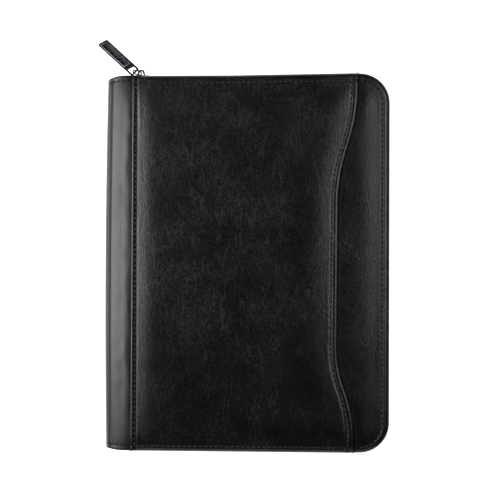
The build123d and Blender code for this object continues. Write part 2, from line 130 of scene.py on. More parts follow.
def set_points(piece: Piece, points: Array, marks: dict[str, Array]) -> None:
    """Moves a piece's points to these places in mm and gives them these attributes.

    Args:
        piece: The piece.
        points: Places in mm.
        marks: Values for the points, by attribute.
    """
    piece.data.vertices.foreach_set("co", (points * MM).ravel())
    for key, values in marks.items():
        mark = piece.data.attributes.new(key, "FLOAT", "POINT")
        mark.data.foreach_set("value", values.astype(np.float32))
    piece.data.update()


def take_model() -> tuple[Array, list[list[int]]]:
    """Takes the points and faces of the model that is active, and removes it.

    Returns:
        Its points, and its faces in a fixed order.
    """
    model = bpy.context.object
    points, faces = get_points(model), [list(p.vertices) for p in model.data.polygons]
    bpy.data.objects.remove(model)
    # Blender numbers a new sphere's faces differently from run to run.
    return points, sorted(f[f.index(min(f)) :] + f[: f.index(min(f))] for f in faces)


def add_sheet(
    name: str, columns: int, rows: int, place: Callable[[Array, Array], Placed], flip: bool = False
) -> Piece:
    """Adds a grid and lays its points out as a sheet of leather or cloth.

    Args:
        name: The piece's name.
        columns: Number of points across.
        rows: Number of points along.
        place: Takes column and row numbers, gives points in mm and point attributes.
        flip: True where the laid-out sheet would face inwards.

    Returns:
        The new piece, at the origin.
    """
    clear_selection()
    bpy.ops.mesh.primitive_grid_add(
        x_subdivisions=columns - 1, y_subdivisions=rows - 1, size=2.0, calc_uvs=True
    )
    piece = bpy.context.object
    piece.name = piece.data.name = name
    flat = (get_points(piece) + 1) / 2
    i, j = (np.rint(flat[:, k] * (n - 1)).astype(int) for k, n in enumerate((columns, rows)))
    set_points(piece, *place(i, j))
    if flip:
        with edit_mode():
            bpy.ops.mesh.flip_normals()
    return piece


def make_active(piece: Piece) -> None:
    """Selects one piece alone.

    Args:
        piece: The piece.
    """
    clear_selection()
    piece.select_set(True)
    bpy.context.view_layer.objects.active = piece


def apply_modifier(piece: Piece, kind: str, **settings: object) -> None:
    """Adds a modifier to a piece with these settings and applies it.

    Args:
        piece: The piece.
        kind: The modifier's type.
        settings: Its options.
    """
    make_active(piece)
    added = piece.modifiers.new(kind.title(), kind)
    for key, value in settings.items():
        setattr(added, key, value)
    bpy.ops.object.modifier_apply(modifier=added.name)


def smooth(piece: Piece, degrees: float) -> None:
    """Shades a piece smooth except over edges sharper than this angle."""
    make_active(piece)
    bpy.ops.object.shade_smooth_by_angle(angle=math.radians(degrees))


def thicken(piece: Piece, thickness: float, degrees: float = 50.0) -> None:
    """Gives a sheet its thickness in mm, inwards from the face that was laid out, and smooths it."""
    apply_modifier(piece, "SOLIDIFY", thickness=thickness * MM, offset=-1.0, use_rim=True)
    smooth(piece, degrees)


def dress(piece: Piece, finish: Material, slot: str, body: Body | None, *nodes: str) -> Piece:
    """Gives a piece its finish and the body it rides, and hides the solids it stands for.

    Args:
        piece: The piece.
        finish: Its material.
        slot: Not used.
        body: The body that carries it, or None where it bends between two.
        nodes: The solids that it stands for.

    Returns:
        The same piece.
    """
    piece.data.materials.clear()
    piece.data.materials.append(finish)
    if nodes:
        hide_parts(*nodes)
    if body is not None:
        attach(piece, body.value)
    LOG.info("%s: %d faces", piece.name, len(piece.data.polygons))
    return piece


def coat(finish: Material, *nodes: str) -> None:
    """Gives solids that keep their own shape a finish.

    Args:
        finish: The material.
        nodes: The solids' names.
    """
    for node in nodes:
        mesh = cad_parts[node].data
        mesh.materials.clear()
        mesh.materials.append(finish)
        LOG.info("%s: keeps its solid, %s", node, finish.name)


# Shapes that the sheets follow


def ramp(value: Array | float, start: float, stop: float) -> Array:
    """Rises from 0 at start to 1 at stop and stays level past them."""
    return np.clip((value - start) / (stop - start), 0, 1)


def eased(share: Array) -> Array:
    """Softens both ends of a ramp."""
    return share * share * (3 - 2 * share)


def bell(distance: Array, width: float | Array, power: int = 2) -> Array:
    """Falls from 1 at no distance to little past the width; power 4 has a flat top."""
    return np.exp(-((distance / width) ** power))


def waves(x: Array, y: Array, seed: float) -> Array:
    """Gives soft random waves from -1 to 1 at these places, about 1 long."""
    return np.array([noise.noise(Vector((a, b, seed))) for a, b in zip(x, y)])


def join_drops(a: Array, b: Array, power: float = 2.6) -> Array:
    """Joins the drops towards two edges without a ridge in the corner."""
    return (np.maximum(a, 0) ** power + np.maximum(b, 0) ** power) ** (1 / power)


def relief(x: Array, y: Array, seed: float, swell: float = 0.2, ripple: float = 0.06) -> Array:
    """Height in mm of the soft waves that handling leaves in padded leather.

    Args:
        x, y: Places in mm.
        seed: A number that makes each panel's waves its own.
        swell: Height of the long waves.
        ripple: Height of the short ones.

    Returns:
        One height for each place.
    """
    long_waves = waves(x / 68.0, y / 90.0, seed)
    short_waves = waves(x / 19.0 + y / 60.0, y / 31.0, seed + 9.0)
    return swell * long_waves + ripple * short_waves


def between(first: float, last: float, count: int) -> Array:
    """Spaces values evenly between two, without the two themselves."""
    return np.linspace(first, last, count)[1:-1]


@dataclass(frozen=True)
class Edge:
    """A leather edge in section: pairs of inset from the edge and drop from the flat, in mm."""

    pairs: tuple[tuple[float, float], ...]

    def rows(self, per_span: int = 3) -> Array:
        """Samples a smooth line through the pairs.

        Args:
            per_span: Points from one pair to the next.

        Returns:
            Rows of inset and drop, from the edge inwards.
        """
        p = np.array(self.pairs, float)
        ends = np.vstack([2 * p[0] - p[1], p, 2 * p[-1] - p[-2]])
        t = np.linspace(0, 1, per_span, endpoint=False)[:, None]
        spans = []
        for k in range(len(p) - 1):
            a, b, c, d = ends[k : k + 4]
            square, cube = 2 * a - 5 * b + 4 * c - d, 3 * b - a - 3 * c + d
            spans.append(0.5 * (2 * b + (c - a) * t + square * t**2 + cube * t**3))
        return np.vstack([*spans, p[-1:]])

    def drop(self, inset: Array | float) -> Array:
        """Gives the drop of the upper side at these insets.

        Args:
            inset: Distances from the edge.

        Returns:
            One drop for each.
        """
        rows = self.rows(6)
        rows = rows[int(np.argmin(rows[:, 0])) :]
        return np.interp(inset, np.maximum.accumulate(rows[:, 0]), rows[:, 1])


FRONT_EDGE = Edge((
    (1.5, 8.15), (0.75, 8.05), (0.2, 7.3), (0.0, 5.9), (0.1, 4.9), (0.45, 3.95), (1.0, 3.15),
    (1.7, 2.5), (2.4, 2.04), (3.0, 1.78), (3.6, 1.66), (4.1, 1.7), (4.6, 1.98), (5.0, 2.2),
    (5.4, 2.26), (6.0, 2.12), (7.0, 1.92), (9.0, 1.66), (11.5, 1.3), (14.0, 0.94),
    (17.5, 0.54), (22.0, 0.22), (28.0, 0.07), (36.0, 0.01), (45.0, 0.0),
))
BACK_EDGE = Edge((
    (1.5, 6.1), (0.75, 6.0), (0.2, 5.4), (0.0, 4.4), (0.15, 3.3), (0.6, 2.3), (1.45, 1.55),
    (2.6, 1.2), (3.6, 1.28), (4.4, 1.52), (5.2, 1.58), (6.2, 1.3), (7.8, 0.9), (10.8, 0.45),
    (15.5, 0.14), (22.0, 0.03), (32.0, 0.0), (45.0, 0.0),
))
LAP_EDGE = Edge((
    (0.6, 3.45), (0.1, 3.35), (0.0, 3.1), (0.1, 2.8), (0.4, 2.5), (0.9, 2.3), (1.4, 2.23),
    (1.8, 2.29), (2.3, 2.61), (2.9, 2.91), (3.4, 2.97), (4.0, 2.85), (4.6, 2.55), (5.6, 2.28),
    (7.5, 1.86), (10.0, 1.42), (13.5, 0.9), (18.0, 0.47), (23.0, 0.22), (31.0, 0.05), (40.0, 0.0),
))
MOUTH_EDGE = Edge((
    (0.5, 2.35), (0.08, 2.3), (0.0, 2.15), (0.1, 2.0), (0.5, 1.82), (1.0, 1.66), (1.5, 1.52),
    (1.9, 1.46), (2.6, 1.46), (3.6, 1.56), (4.4, 1.8), (5.0, 1.92), (5.6, 1.84), (6.4, 1.62),
    (8.5, 1.3), (12.0, 0.88), (16.0, 0.48), (21.0, 0.18), (28.0, 0.04), (38.0, 0.0),
))
HEM_EDGE = Edge((
    (0.9, 1.2), (0.2, 0.95), (0.0, 0.6), (0.18, 0.22), (0.8, 0.03), (1.8, 0.0), (3.2, 0.05),
    (4.3, 0.14), (5.4, 0.05), (8.0, 0.0), (14.0, 0.0),
))
SEWN_EDGE = Edge((
    (0.3, 1.55), (0.05, 1.5), (0.0, 1.4), (0.1, 1.26), (0.4, 1.16), (0.8, 1.14), (1.2, 1.06),
    (1.7, 0.56), (2.3, 0.1), (3.0, 0.0), (6.0, 0.0),
))
TURNED_EDGE = Edge((
    (0.4, 0.8), (0.08, 0.68), (0.0, 0.45), (0.12, 0.2), (0.5, 0.04), (1.2, 0.0), (2.6, 0.08),
    (3.2, 0.2), (3.8, 0.1), (5.0, 0.06), (8.0, 0.12), (13.0, 0.2),
))
# Half the case's height, x of its zip edge and x of the covers' edge over the spine, in mm.
HALF = 165.0
RIGHT = 124.0
LAP = -101.6


@dataclass(frozen=True)
class ZipOutline:
    """The three zipped sides of the case as one line, from the bottom left round to the top left, in mm."""

    left: float
    corner: float = 26.0

    @property
    def lengths(self) -> tuple[float, float, float]:
        """Lengths of the bottom run, one corner and the right-hand run."""
        return RIGHT - self.corner - self.left, math.pi / 2 * self.corner, 2 * (HALF - self.corner)

    @property
    def total(self) -> float:
        """Length of the whole line."""
        run, bend, side = self.lengths
        return 2 * run + 2 * bend + side

    def at(self, along: Array, inset: Array | float) -> tuple[Array, Array, Array, Array]:
        """Finds points of the line.

        Args:
            along: Distance from the start, in mm.
            inset: Distance inwards from the line.

        Returns:
            x, y and the outward direction's two parts.
        """
        run, bend, side = self.lengths
        along, inset = np.broadcast_arrays(np.asarray(along, float), np.asarray(inset, float))
        cx, cy, r = RIGHT - self.corner, HALF - self.corner, self.corner - inset
        first = -math.pi / 2 + (along - run) / self.corner
        second = (along - run - bend - side) / self.corner
        stops = np.cumsum([run, bend, side, bend])
        parts = [along < stop for stop in stops]
        nil = 0 * along
        xs = [self.left + along, cx + r * np.cos(first), RIGHT - inset, cx + r * np.cos(second)]
        ys = [inset - HALF, -cy + r * np.sin(first), -cy + along - run - bend, cy + r * np.sin(second)]
        x = np.select(parts, xs, cx - (along - stops[-1]))
        y = np.select(parts, ys, HALF - inset)
        nx = np.select(parts, [nil, np.cos(first), nil + 1, np.cos(second)], 0)
        ny = np.select(parts, [nil - 1, np.sin(first), nil, np.sin(second)], 1)
        return x, y, nx, ny

    def stations(self, straight: float = 2.2, bent: float = 1.3) -> Array:
        """Spaces points along the line, closer together round the corners.

        Args:
            straight: Spacing on the straight runs.
            bent: Spacing round the corners.

        Returns:
            Distances from the start.
        """
        run, bend, side = self.lengths
        legs, at = [], 0.0
        for length, step in zip((run, bend, side, bend, run), (straight, bent) * 2 + (straight,)):
            legs.append(np.linspace(at, at + length, max(2, int(length / step)), endpoint=False))
            at += length
        return np.append(np.concatenate(legs), self.total)

    def left_end(self, along: Array, short: float) -> Array:
        """Gives y on the left-hand edge for these places of the line, ending this much before the corners."""
        return (2 * along / self.total - 1) * (HALF - short)


def zip_sheet(
    name: str,
    line: ZipOutline,
    inset: float,
    columns: int,
    height: Callable[[Array, Array], Array],
    flip: bool = False,
) -> Piece:
    """Lays a sheet over the area inside the zip line, as far as a straight left-hand edge.

    Args:
        name: The piece's name.
        line: The zip line.
        inset: Distance from the zip line to the sheet's edge.
        columns: Number of points from the zip to the left.
        height: Gives z at x and y, all in mm.
        flip: True where the sheet faces down.

    Returns:
        The sheet.
    """
    along = line.stations(4.0, 2.0)
    steps = np.linspace(0, 1, columns)

    def place(i: Array, j: Array) -> Placed:
        """Lays the sheet from the zip to the left.

        Args:
            i, j: Column and row numbers.

        Returns:
            Points in mm and their attributes.
        """
        s, t = along[i], steps[j]
        x, y, _, _ = line.at(s, inset)
        x, y = x + (line.left - x) * t, y + (line.left_end(s, inset + 12.0) - y) * t
        return columns_of(x, y, height(x, y)), {}

    return add_sheet(name, len(along), columns, place, flip)


# Materials


def linear(code: str) -> tuple[float, float, float, float]:
    """Turns an sRGB hex colour into linear RGBA."""
    parts = [int(code[k : k + 2], 16) / 255 for k in (1, 3, 5)]
    return (*[c / 12.92 if c <= 0.04045 else ((c + 0.055) / 1.055) ** 2.4 for c in parts], 1.0)


def add_node(
    tree: bpy.types.NodeTree, kind: str, inputs: dict[str | int, object], **settings: object
) -> bpy.types.Node:
    """Adds a node with its settings, values and links.

    Args:
        tree: The material's nodes.
        kind: The node's type, without the prefix that all shader nodes have.
        inputs: For each input a value, a socket to link, or a node whose first output in use is linked.
        settings: The node's own options.

    Returns:
        The new node.
    """
    made = tree.nodes.new("ShaderNode" + kind)
    for key, value in settings.items():
        setattr(made, key, value)
    for key, value in inputs.items():
        if isinstance(value, bpy.types.Node):
            value = next(socket for socket in value.outputs if socket.enabled)
        if isinstance(value, bpy.types.NodeSocket):
            tree.links.new(value, made.inputs[key])
        else:
            made.inputs[key].default_value = value
    return made


Adder = Callable[..., bpy.types.Node]
Inputs = dict[str, object]
# A wave texture of scale 1 has its bands this far apart.
BANDS = 0.314


@dataclass(frozen=True)
class Finish:
    """A material, named for the real one and how its surface was made."""

    name: str

    def surface(self, node: Adder) -> Inputs:
        """Adds the finish's nodes and gives the shader's inputs."""
        raise NotImplementedError

    def make(self) -> Material:
        """Builds the material.

        Returns:
            The material.
        """
        material = bpy.data.materials.new(self.name)
        material.use_nodes = True
        material.node_tree.nodes.clear()
        node = partial(add_node, material.node_tree)
        shader = node("BsdfPrincipled", self.surface(node))
        node("OutputMaterial", {"Surface": shader})
        return material


@dataclass(frozen=True)
class Leather(Finish):
    """Black bonded leather, embossed and waxed.

    It gives a satin sheen over hair-fine upright wrinkles, bundles of long thin creases, broad clouds
    and dull pressed seams.

    Attributes:
        grain: Width of a wrinkle in mm. The real 0.6 mm grain is drawn coarser so that it shows.
        cloud: Size of the lighter and darker clouds in mm.
        bundle: Width of a bundle of creases in mm.
        creases: How many creases lie side by side over a bundle's slope.
        patch: Size in mm of the patches where creases show.
        streak: Width in mm of the streaks that a seam pulls into the leather.
        drift, wander: Length of the bends in the wrinkles and how far they stray, in mm.
        falloff_right, falloff_low: Painted light: how much darker the right and the lower parts are painted,
            next to the upper left.

    A piece's "seam" attribute shows the pulled streaks, and its "sunk" attribute makes places dull and
    darkens them with painted shade.
    """

    colour: str = "#020203"
    rubbed: str = "#29292b"
    roughness: float = 0.28
    grain: float = 1.2
    grain_depth: float = 0.1
    cloud: float = 34.0
    bundle: float = 15.0
    creases: float = 8.0
    crease_depth: float = 0.026
    patch: float = 9.0
    streak: float = 2.2
    streak_depth: float = 0.16
    drift: float = 7.0
    wander: float = 5.0
    falloff_right: float = 0.76
    falloff_low: float = 0.64

    def grain_height(self, node: Adder, bent: bpy.types.Node) -> bpy.types.Node:
        """Crosses two sets of wrinkles, one short and one long, and gives their height about 0.

        Args:
            node: Adds a node to the material.
            bent: Gives the bent coordinates.

        Returns:
            The node that gives the height.
        """
        folds = []
        for slope, stretch in ((-5, 0.66), (4, 0.13)):
            turn = (0, 0, math.radians(slope))
            laid = node("Mapping", {"Vector": bent, "Rotation": turn, "Scale": (1.0, stretch, 1.0)})
            look = {"Scale": 1 / (self.grain * MM), "Detail": 1.6, "Roughness": 0.5}
            folds.append(node("TexNoise", {"Vector": laid, **look}))
        wrinkle = node("Math", {0: folds[1], 1: 0.6, 2: folds[0]}, operation="MULTIPLY_ADD")
        return node("Math", {0: wrinkle, 1: 0.8}, operation="SUBTRACT")

    def crease_lines(self, node: Adder, bent: bpy.types.Node) -> bpy.types.Node:
        """Draws bundles of creases as the level lines of a long slope, each shown only in patches.

        Args:
            node: Adds a node to the material.
            bent: Gives the bent coordinates.

        Returns:
            The node that gives 1 on a crease.
        """
        turn = (0, 0, math.radians(9))
        turned = node("Mapping", {"Vector": bent, "Rotation": turn, "Scale": (1.0, 0.32, 1.0)})
        look = {"Scale": 1 / (self.bundle * MM), "Detail": 2.0, "Roughness": 0.5}
        slope = node("TexNoise", {"Vector": turned, **look})
        steps = node("Math", {0: slope, 1: self.creases}, operation="MULTIPLY")
        part = node("Math", {0: steps}, operation="FRACT")
        off = node("Math", {0: part, 1: 0.5}, operation="SUBTRACT")
        near = node("Math", {0: off}, operation="ABSOLUTE")
        thin = {1: 0.0, 2: 0.17, 3: 1.0, 4: 0.0}
        line = node("MapRange", {"Value": near, **thin}, interpolation_type="SMOOTHSTEP")
        spots = node("TexNoise", {"Vector": turned, "Scale": 1 / (self.patch * MM), "Detail": 1.0})
        kept = {1: 0.42, 2: 0.63, 3: 0.0, 4: 1.0}
        shown = node("MapRange", {"Value": spots, **kept}, interpolation_type="SMOOTHSTEP")
        return node("Math", {0: line, 1: shown}, operation="MULTIPLY")

    def painted_light_falloff(self, node: Adder, place: bpy.types.NodeSocket) -> bpy.types.Node:
        """Gives how much painted light a place gets: the upper part next to the spine is painted lightest.

        Args:
            node: Adds a node to the material.
            place: Object coordinates.

        Returns:
            The node that gives the share.
        """
        at = node("SeparateXYZ", {"Vector": place})
        across = {1: -70 * MM, 2: 60 * MM, 3: 1.06, 4: self.falloff_right}
        upward = {1: -105 * MM, 2: -10 * MM, 3: self.falloff_low, 4: 1.0}
        shares = []
        for axis, limits in (("X", across), ("Y", upward)):
            from_to = {"Value": at.outputs[axis], **limits}
            shares.append(node("MapRange", from_to, interpolation_type="SMOOTHSTEP"))
        return node("Math", {0: shares[0], 1: shares[1]}, operation="MULTIPLY")

    def surface(self, node: Adder) -> Inputs:
        """Adds the finish's nodes and gives the shader's inputs.

        Args:
            node: Adds a node to the material.

        Returns:
            Values, sockets and nodes for the shader's inputs.
        """
        place = node("TexCoord", {}).outputs["Object"]
        drift = node("TexNoise", {"Vector": place, "Scale": 1 / (self.drift * MM), "Detail": 2.0})
        stray = {0: drift.outputs["Color"], 1: (self.wander * MM,) * 3, 2: place}
        bent = node("VectorMath", stray, operation="MULTIPLY_ADD")
        grain, fold = self.grain_height(node, bent), self.crease_lines(node, bent)
        # The relief: grain, creases and the streaks beside a seam.
        drawn = node("Mapping", {"Vector": bent, "Scale": (1.0, 0.1, 1.0)})
        streak = node("TexNoise", {"Vector": drawn, "Scale": 1 / (self.streak * MM), "Detail": 2.0})
        seam = node("Attribute", {}, attribute_name="seam").outputs["Fac"]
        pulled = node("Math", {0: streak, 1: seam}, operation="MULTIPLY")
        crease = node("Math", {0: fold, 1: self.crease_depth}, operation="MULTIPLY")
        low = node("Math", {0: grain, 1: self.grain_depth, 2: crease}, operation="MULTIPLY_ADD")
        high = node("Math", {0: pulled, 1: self.streak_depth, 2: low}, operation="MULTIPLY_ADD")
        bump = node("Bump", {"Height": high, "Strength": 1.0, "Distance": MM})
        # The colour: paler on ridges and creases and in clouds, painted paler towards the upper left as
        # painted light, and darkened where sunk as painted shade.
        look = {"Scale": 1 / (self.cloud * MM), "Detail": 2.0, "Roughness": 0.5}
        mottle = node("TexNoise", {"Vector": place, **look})
        soft = {1: 0.35, 2: 0.65, 3: 0.62, 4: 1.32}
        clouds = node("MapRange", {"Value": mottle, **soft}, interpolation_type="SMOOTHSTEP")
        raised = node("MapRange", {"Value": grain, 1: -0.06, 2: 0.13, 3: 0.0, 4: 0.74})
        ridge = node("Math", {0: fold, 1: 0.8, 2: raised}, operation="MULTIPLY_ADD")
        # Painted light: the colour is paler towards the upper left and darker towards the right and the
        # bottom.
        lit_share = self.painted_light_falloff(node, place)
        broad = node("Math", {0: clouds, 1: lit_share}, operation="MULTIPLY")
        falloff_offset = node("Math", {0: lit_share, 1: 0.28, 2: -0.28}, operation="MULTIPLY_ADD")
        toned = node("Math", {0: ridge, 1: broad, 2: falloff_offset}, operation="MULTIPLY_ADD")
        sunk = node("Attribute", {}, attribute_name="sunk").outputs["Fac"]
        # Painted shade: where a piece is sunk, in its grooves, folds and crevices, the colour is darkened.
        dark = node("Math", {0: sunk, 1: -0.8, 2: 1.0}, operation="MULTIPLY_ADD")
        lift = node("Math", {0: toned, 1: dark}, operation="MULTIPLY")
        tones = {6: linear(self.colour), 7: linear(self.rubbed)}
        shade = node("Mix", {0: lift, **tones}, data_type="RGBA")
        # The stitched grooves are pressed dull.
        sheen = {1: 0.3, 2: 0.7, 3: self.roughness - 0.02, 4: self.roughness + 0.03}
        worn = node("MapRange", {"Value": mottle, **sheen})
        gloss = node("Math", {0: sunk, 1: 0.3, 2: worn}, operation="MULTIPLY_ADD")
        level = node("MapRange", {"Value": sunk, 1: 0.0, 2: 1.0, 3: 0.5, 4: 0.06})
        shine = {"Roughness": gloss, "Specular IOR Level": level, "IOR": 1.5}
        return {"Base Color": shade, "Normal": bump, **shine}


@dataclass(frozen=True)
class Thread(Finish):
    """Bonded polyester sewing thread, twisted: round strands that catch the light as short ticks.

    Attributes:
        twist: Width of a strand in mm.
    """

    name: str = "bonded_polyester_thread"
    colour: str = "#1a1a1c"
    bright: str = "#36373b"
    twist: float = 0.5
    depth: float = 0.06
    roughness: float = 0.36
    sheen: float = 0.75

    def surface(self, node: Adder) -> Inputs:
        """Adds the finish's nodes and gives the shader's inputs.

        Args:
            node: Adds a node to the material.

        Returns:
            Values, sockets and nodes for the shader's inputs.
        """
        place = node("TexCoord", {}).outputs["Object"]
        turned = node("Mapping", {"Vector": place, "Rotation": (0, 0, math.radians(45))})
        look = {"Scale": BANDS / (self.twist * MM), "Distortion": 0.6}
        strands = node("TexWave", {"Vector": turned, **look}, wave_type="BANDS").outputs["Fac"]
        tones = {6: linear(self.colour), 7: linear(self.bright)}
        shade = node("Mix", {0: strands, **tones}, data_type="RGBA")
        bump = node("Bump", {"Height": strands, "Strength": 0.6, "Distance": self.depth * MM})
        shine = {"Roughness": self.roughness, "Specular IOR Level": self.sheen}
        return {"Base Color": shade, "Normal": bump, **shine}


@dataclass(frozen=True)
class Cloth(Finish):
    """Woven polyester: two sets of threads that cross, dull, with a faint sheen at a low angle.

    Attributes:
        pitch: Thread spacing in mm, drawn coarser than the real 0.3 mm so that it shows.
        size: Width and length of the piece in mm where the weave follows its UV map, or None.
        slub: Length in mm of the thicker and thinner places in the threads.
    """

    colour: str
    bright: str
    pitch: float = 0.7
    depth: float = 0.08
    roughness: float = 0.78
    size: tuple[float, float] | None = None
    slope: float = 45.0
    slub: float = 9.0

    def surface(self, node: Adder) -> Inputs:
        """Adds the finish's nodes and gives the shader's inputs.

        Args:
            node: Adds a node to the material.

        Returns:
            Values, sockets and nodes for the shader's inputs.
        """
        coords = node("TexCoord", {})
        place = coords.outputs["Object"]
        along = place
        if self.size is not None:
            scale = (self.size[0] * MM, self.size[1] * MM, 1.0)
            along = node("Mapping", {"Vector": coords.outputs["UV"], "Scale": scale})
        look = {"Scale": BANDS / (self.pitch * MM), "Distortion": 0.35}
        sets = []
        for slope in (self.slope, self.slope + 90.0):
            turned = node("Mapping", {"Vector": along, "Rotation": (0, 0, math.radians(slope))})
            sets.append(node("TexWave", {"Vector": turned, **look}, wave_type="BANDS").outputs["Fac"])
        cross = node("Math", {0: sets[0], 1: sets[1]}, operation="MULTIPLY")
        uneven = node("TexNoise", {"Vector": place, "Scale": 1 / (self.slub * MM), "Detail": 3.0})
        mixed = node("Math", {0: cross, 1: uneven}, operation="MULTIPLY")
        tones = {6: linear(self.colour), 7: linear(self.bright)}
        shade = node("Mix", {0: mixed, **tones}, data_type="RGBA")
        bump = node("Bump", {"Height": cross, "Strength": 0.8, "Distance": self.depth * MM})
        shine = {"Roughness": self.roughness, "Sheen Weight": 0.2}
        return {"Base Color": shade, "Normal": bump, **shine}


@dataclass(frozen=True)
class Metal(Finish):
    """Die-cast zinc with a dark nickel plate: smooth, mirror-like in patches, duller where worn.

    Attributes:
        mottle: Size in mm of the duller patches.
        spread: How softly the patches pass into each other, from 0 to 0.5.
        pit: Size in mm of the casting's fine pits, which are drawn coarser so that they show.

    A piece's attribute of painted light makes places brighter above 0 and darker below: painted light on one
    side of a piece and painted shade on the other.
    """

    colour: str
    worn: str
    roughness: float = 0.3
    mottle: float = 2.2
    spread: float = 0.5
    pit: float = 0.35
    pit_depth: float = 0.03

    def surface(self, node: Adder) -> Inputs:
        """Adds the finish's nodes and gives the shader's inputs.

        Args:
            node: Adds a node to the material.

        Returns:
            Values, sockets and nodes for the shader's inputs.
        """
        place = node("TexCoord", {}).outputs["Object"]
        look = {"Scale": 1 / (self.mottle * MM), "Detail": 5.0, "Roughness": 0.7}
        patches = node("TexNoise", {"Vector": place, **look})
        fine = node("TexNoise", {"Vector": place, "Scale": 1 / (self.pit * MM), "Detail": 2.0})
        # The attribute adds painted light and shade to the real worn patches: one side of a piece brighter,
        # the other darker.
        rubbed = node("Attribute", {}, attribute_name="rubbed").outputs["Fac"]
        wear_and_light = node("Math", {0: rubbed, 1: patches}, operation="ADD")
        soft = {1: 0.5 - self.spread, 2: 0.5 + self.spread, 3: 0.0, 4: 1.0}
        share = node("MapRange", {"Value": wear_and_light, **soft})
        tones = {6: linear(self.colour), 7: linear(self.worn)}
        shade = node("Mix", {0: share, **tones}, data_type="RGBA")
        sheen = {1: 0.3, 2: 0.7, 3: self.roughness - 0.06, 4: self.roughness + 0.12}
        gloss = node("MapRange", {"Value": patches, **sheen})
        bump = node("Bump", {"Height": fine, "Strength": 0.25, "Distance": self.pit_depth * MM})
        return {"Base Color": shade, "Roughness": gloss, "Normal": bump, "Metallic": 1.0}


@dataclass(frozen=True)
class Moulded(Finish):
    """Drawn or pressed stuff with a fine tooth: nylon, lacquer, foam, fibreboard or board.

    They are told apart by colour, gloss and grit.

    Attributes:
        grit: Size in mm of the grit.
    """

    colour: str
    bright: str
    roughness: float
    grit: float
    depth: float

    def surface(self, node: Adder) -> Inputs:
        """Adds the finish's nodes and gives the shader's inputs.

        Args:
            node: Adds a node to the material.

        Returns:
            Values, sockets and nodes for the shader's inputs.
        """
        place = node("TexCoord", {}).outputs["Object"]
        look = {"Scale": 1 / (self.grit * MM), "Detail": 3.0, "Roughness": 0.6}
        grit = node("TexNoise", {"Vector": place, **look})
        tones = {6: linear(self.colour), 7: linear(self.bright)}
        shade = node("Mix", {0: grit, **tones}, data_type="RGBA")
        bump = node("Bump", {"Height": grit, "Strength": 0.5, "Distance": self.depth * MM})
        return {"Base Color": shade, "Normal": bump, "Roughness": self.roughness}


@dataclass(frozen=True)
class RuledPaper(Finish):
    """Uncoated writing paper: matt and warm, with blue-grey ruled lines and edges like fine layers.

    Attributes:
        pitch: Distance between the ruled lines in mm.
        line: A line's share of that distance.
        top: z in mm above which the paper is ruled.
        layer: Thickness of a bundle of sheets in mm. Single sheets are too thin to show.
        fibre: Size in mm of the paper's tooth.
    """

    name: str = "ruled_writing_paper"
    colour: str = "#f1eee4"
    ink: str = "#9fb0c4"
    pitch: float = 7.1
    line: float = 0.07
    top: float = 12.9
    layer: float = 0.34
    fibre: float = 0.8

    def surface(self, node: Adder) -> Inputs:
        """Adds the finish's nodes and gives the shader's inputs.

        Args:
            node: Adds a node to the material.

        Returns:
            Values, sockets and nodes for the shader's inputs.
        """
        place = node("TexCoord", {}).outputs["Object"]
        split = node("SeparateXYZ", {"Vector": place})
        step = node("Math", {0: split.outputs["Y"], 1: 1 / (self.pitch * MM)}, operation="MULTIPLY")
        part = node("Math", {0: step}, operation="FRACT")
        line = node("Math", {0: part, 1: self.line}, operation="LESS_THAN")
        top = node("Math", {0: split.outputs["Z"], 1: self.top * MM}, operation="GREATER_THAN")
        ruled = node("Math", {0: line, 1: top}, operation="MULTIPLY")
        look = {"Scale": BANDS / (self.layer * MM), "Distortion": 0.4}
        layers = node("TexWave", {"Vector": place, **look}, wave_type="BANDS", bands_direction="Z")
        fibre = node("TexNoise", {"Vector": place, "Scale": 1 / (self.fibre * MM), "Detail": 3.0})
        tones = {6: linear(self.colour), 7: linear(self.ink)}
        shade = node("Mix", {0: ruled, **tones}, data_type="RGBA")
        edge = node("Bump", {"Height": layers.outputs["Fac"], "Strength": 0.5, "Distance": 0.1 * MM})
        tooth = {"Height": fibre, "Strength": 0.3, "Distance": 0.03 * MM, "Normal": edge}
        return {"Base Color": shade, "Normal": node("Bump", tooth), "Roughness": 0.85}


@dataclass(frozen=True)
class Acrylic(Finish):
    """A pale acrylic floor lit from behind: even and white, with hardly a cloud in it."""

    colour: str = "#eeeeee"
    bright: str = "#f4f4f4"

    def surface(self, node: Adder) -> Inputs:
        """Adds the finish's nodes and gives the shader's inputs.

        Args:
            node: Adds a node to the material.

        Returns:
            Values, sockets and nodes for the shader's inputs.
        """
        place = node("TexCoord", {}).outputs["Object"]
        cloud = node("TexNoise", {"Vector": place, "Scale": 3.0})
        tones = {6: linear(self.colour), 7: linear(self.bright)}
        shade = node("Mix", {0: cloud, **tones}, data_type="RGBA")
        glow = {"Emission Color": (1, 1, 1, 1), "Emission Strength": 1.0}
        return {"Base Color": shade, "Roughness": 0.9, **glow}


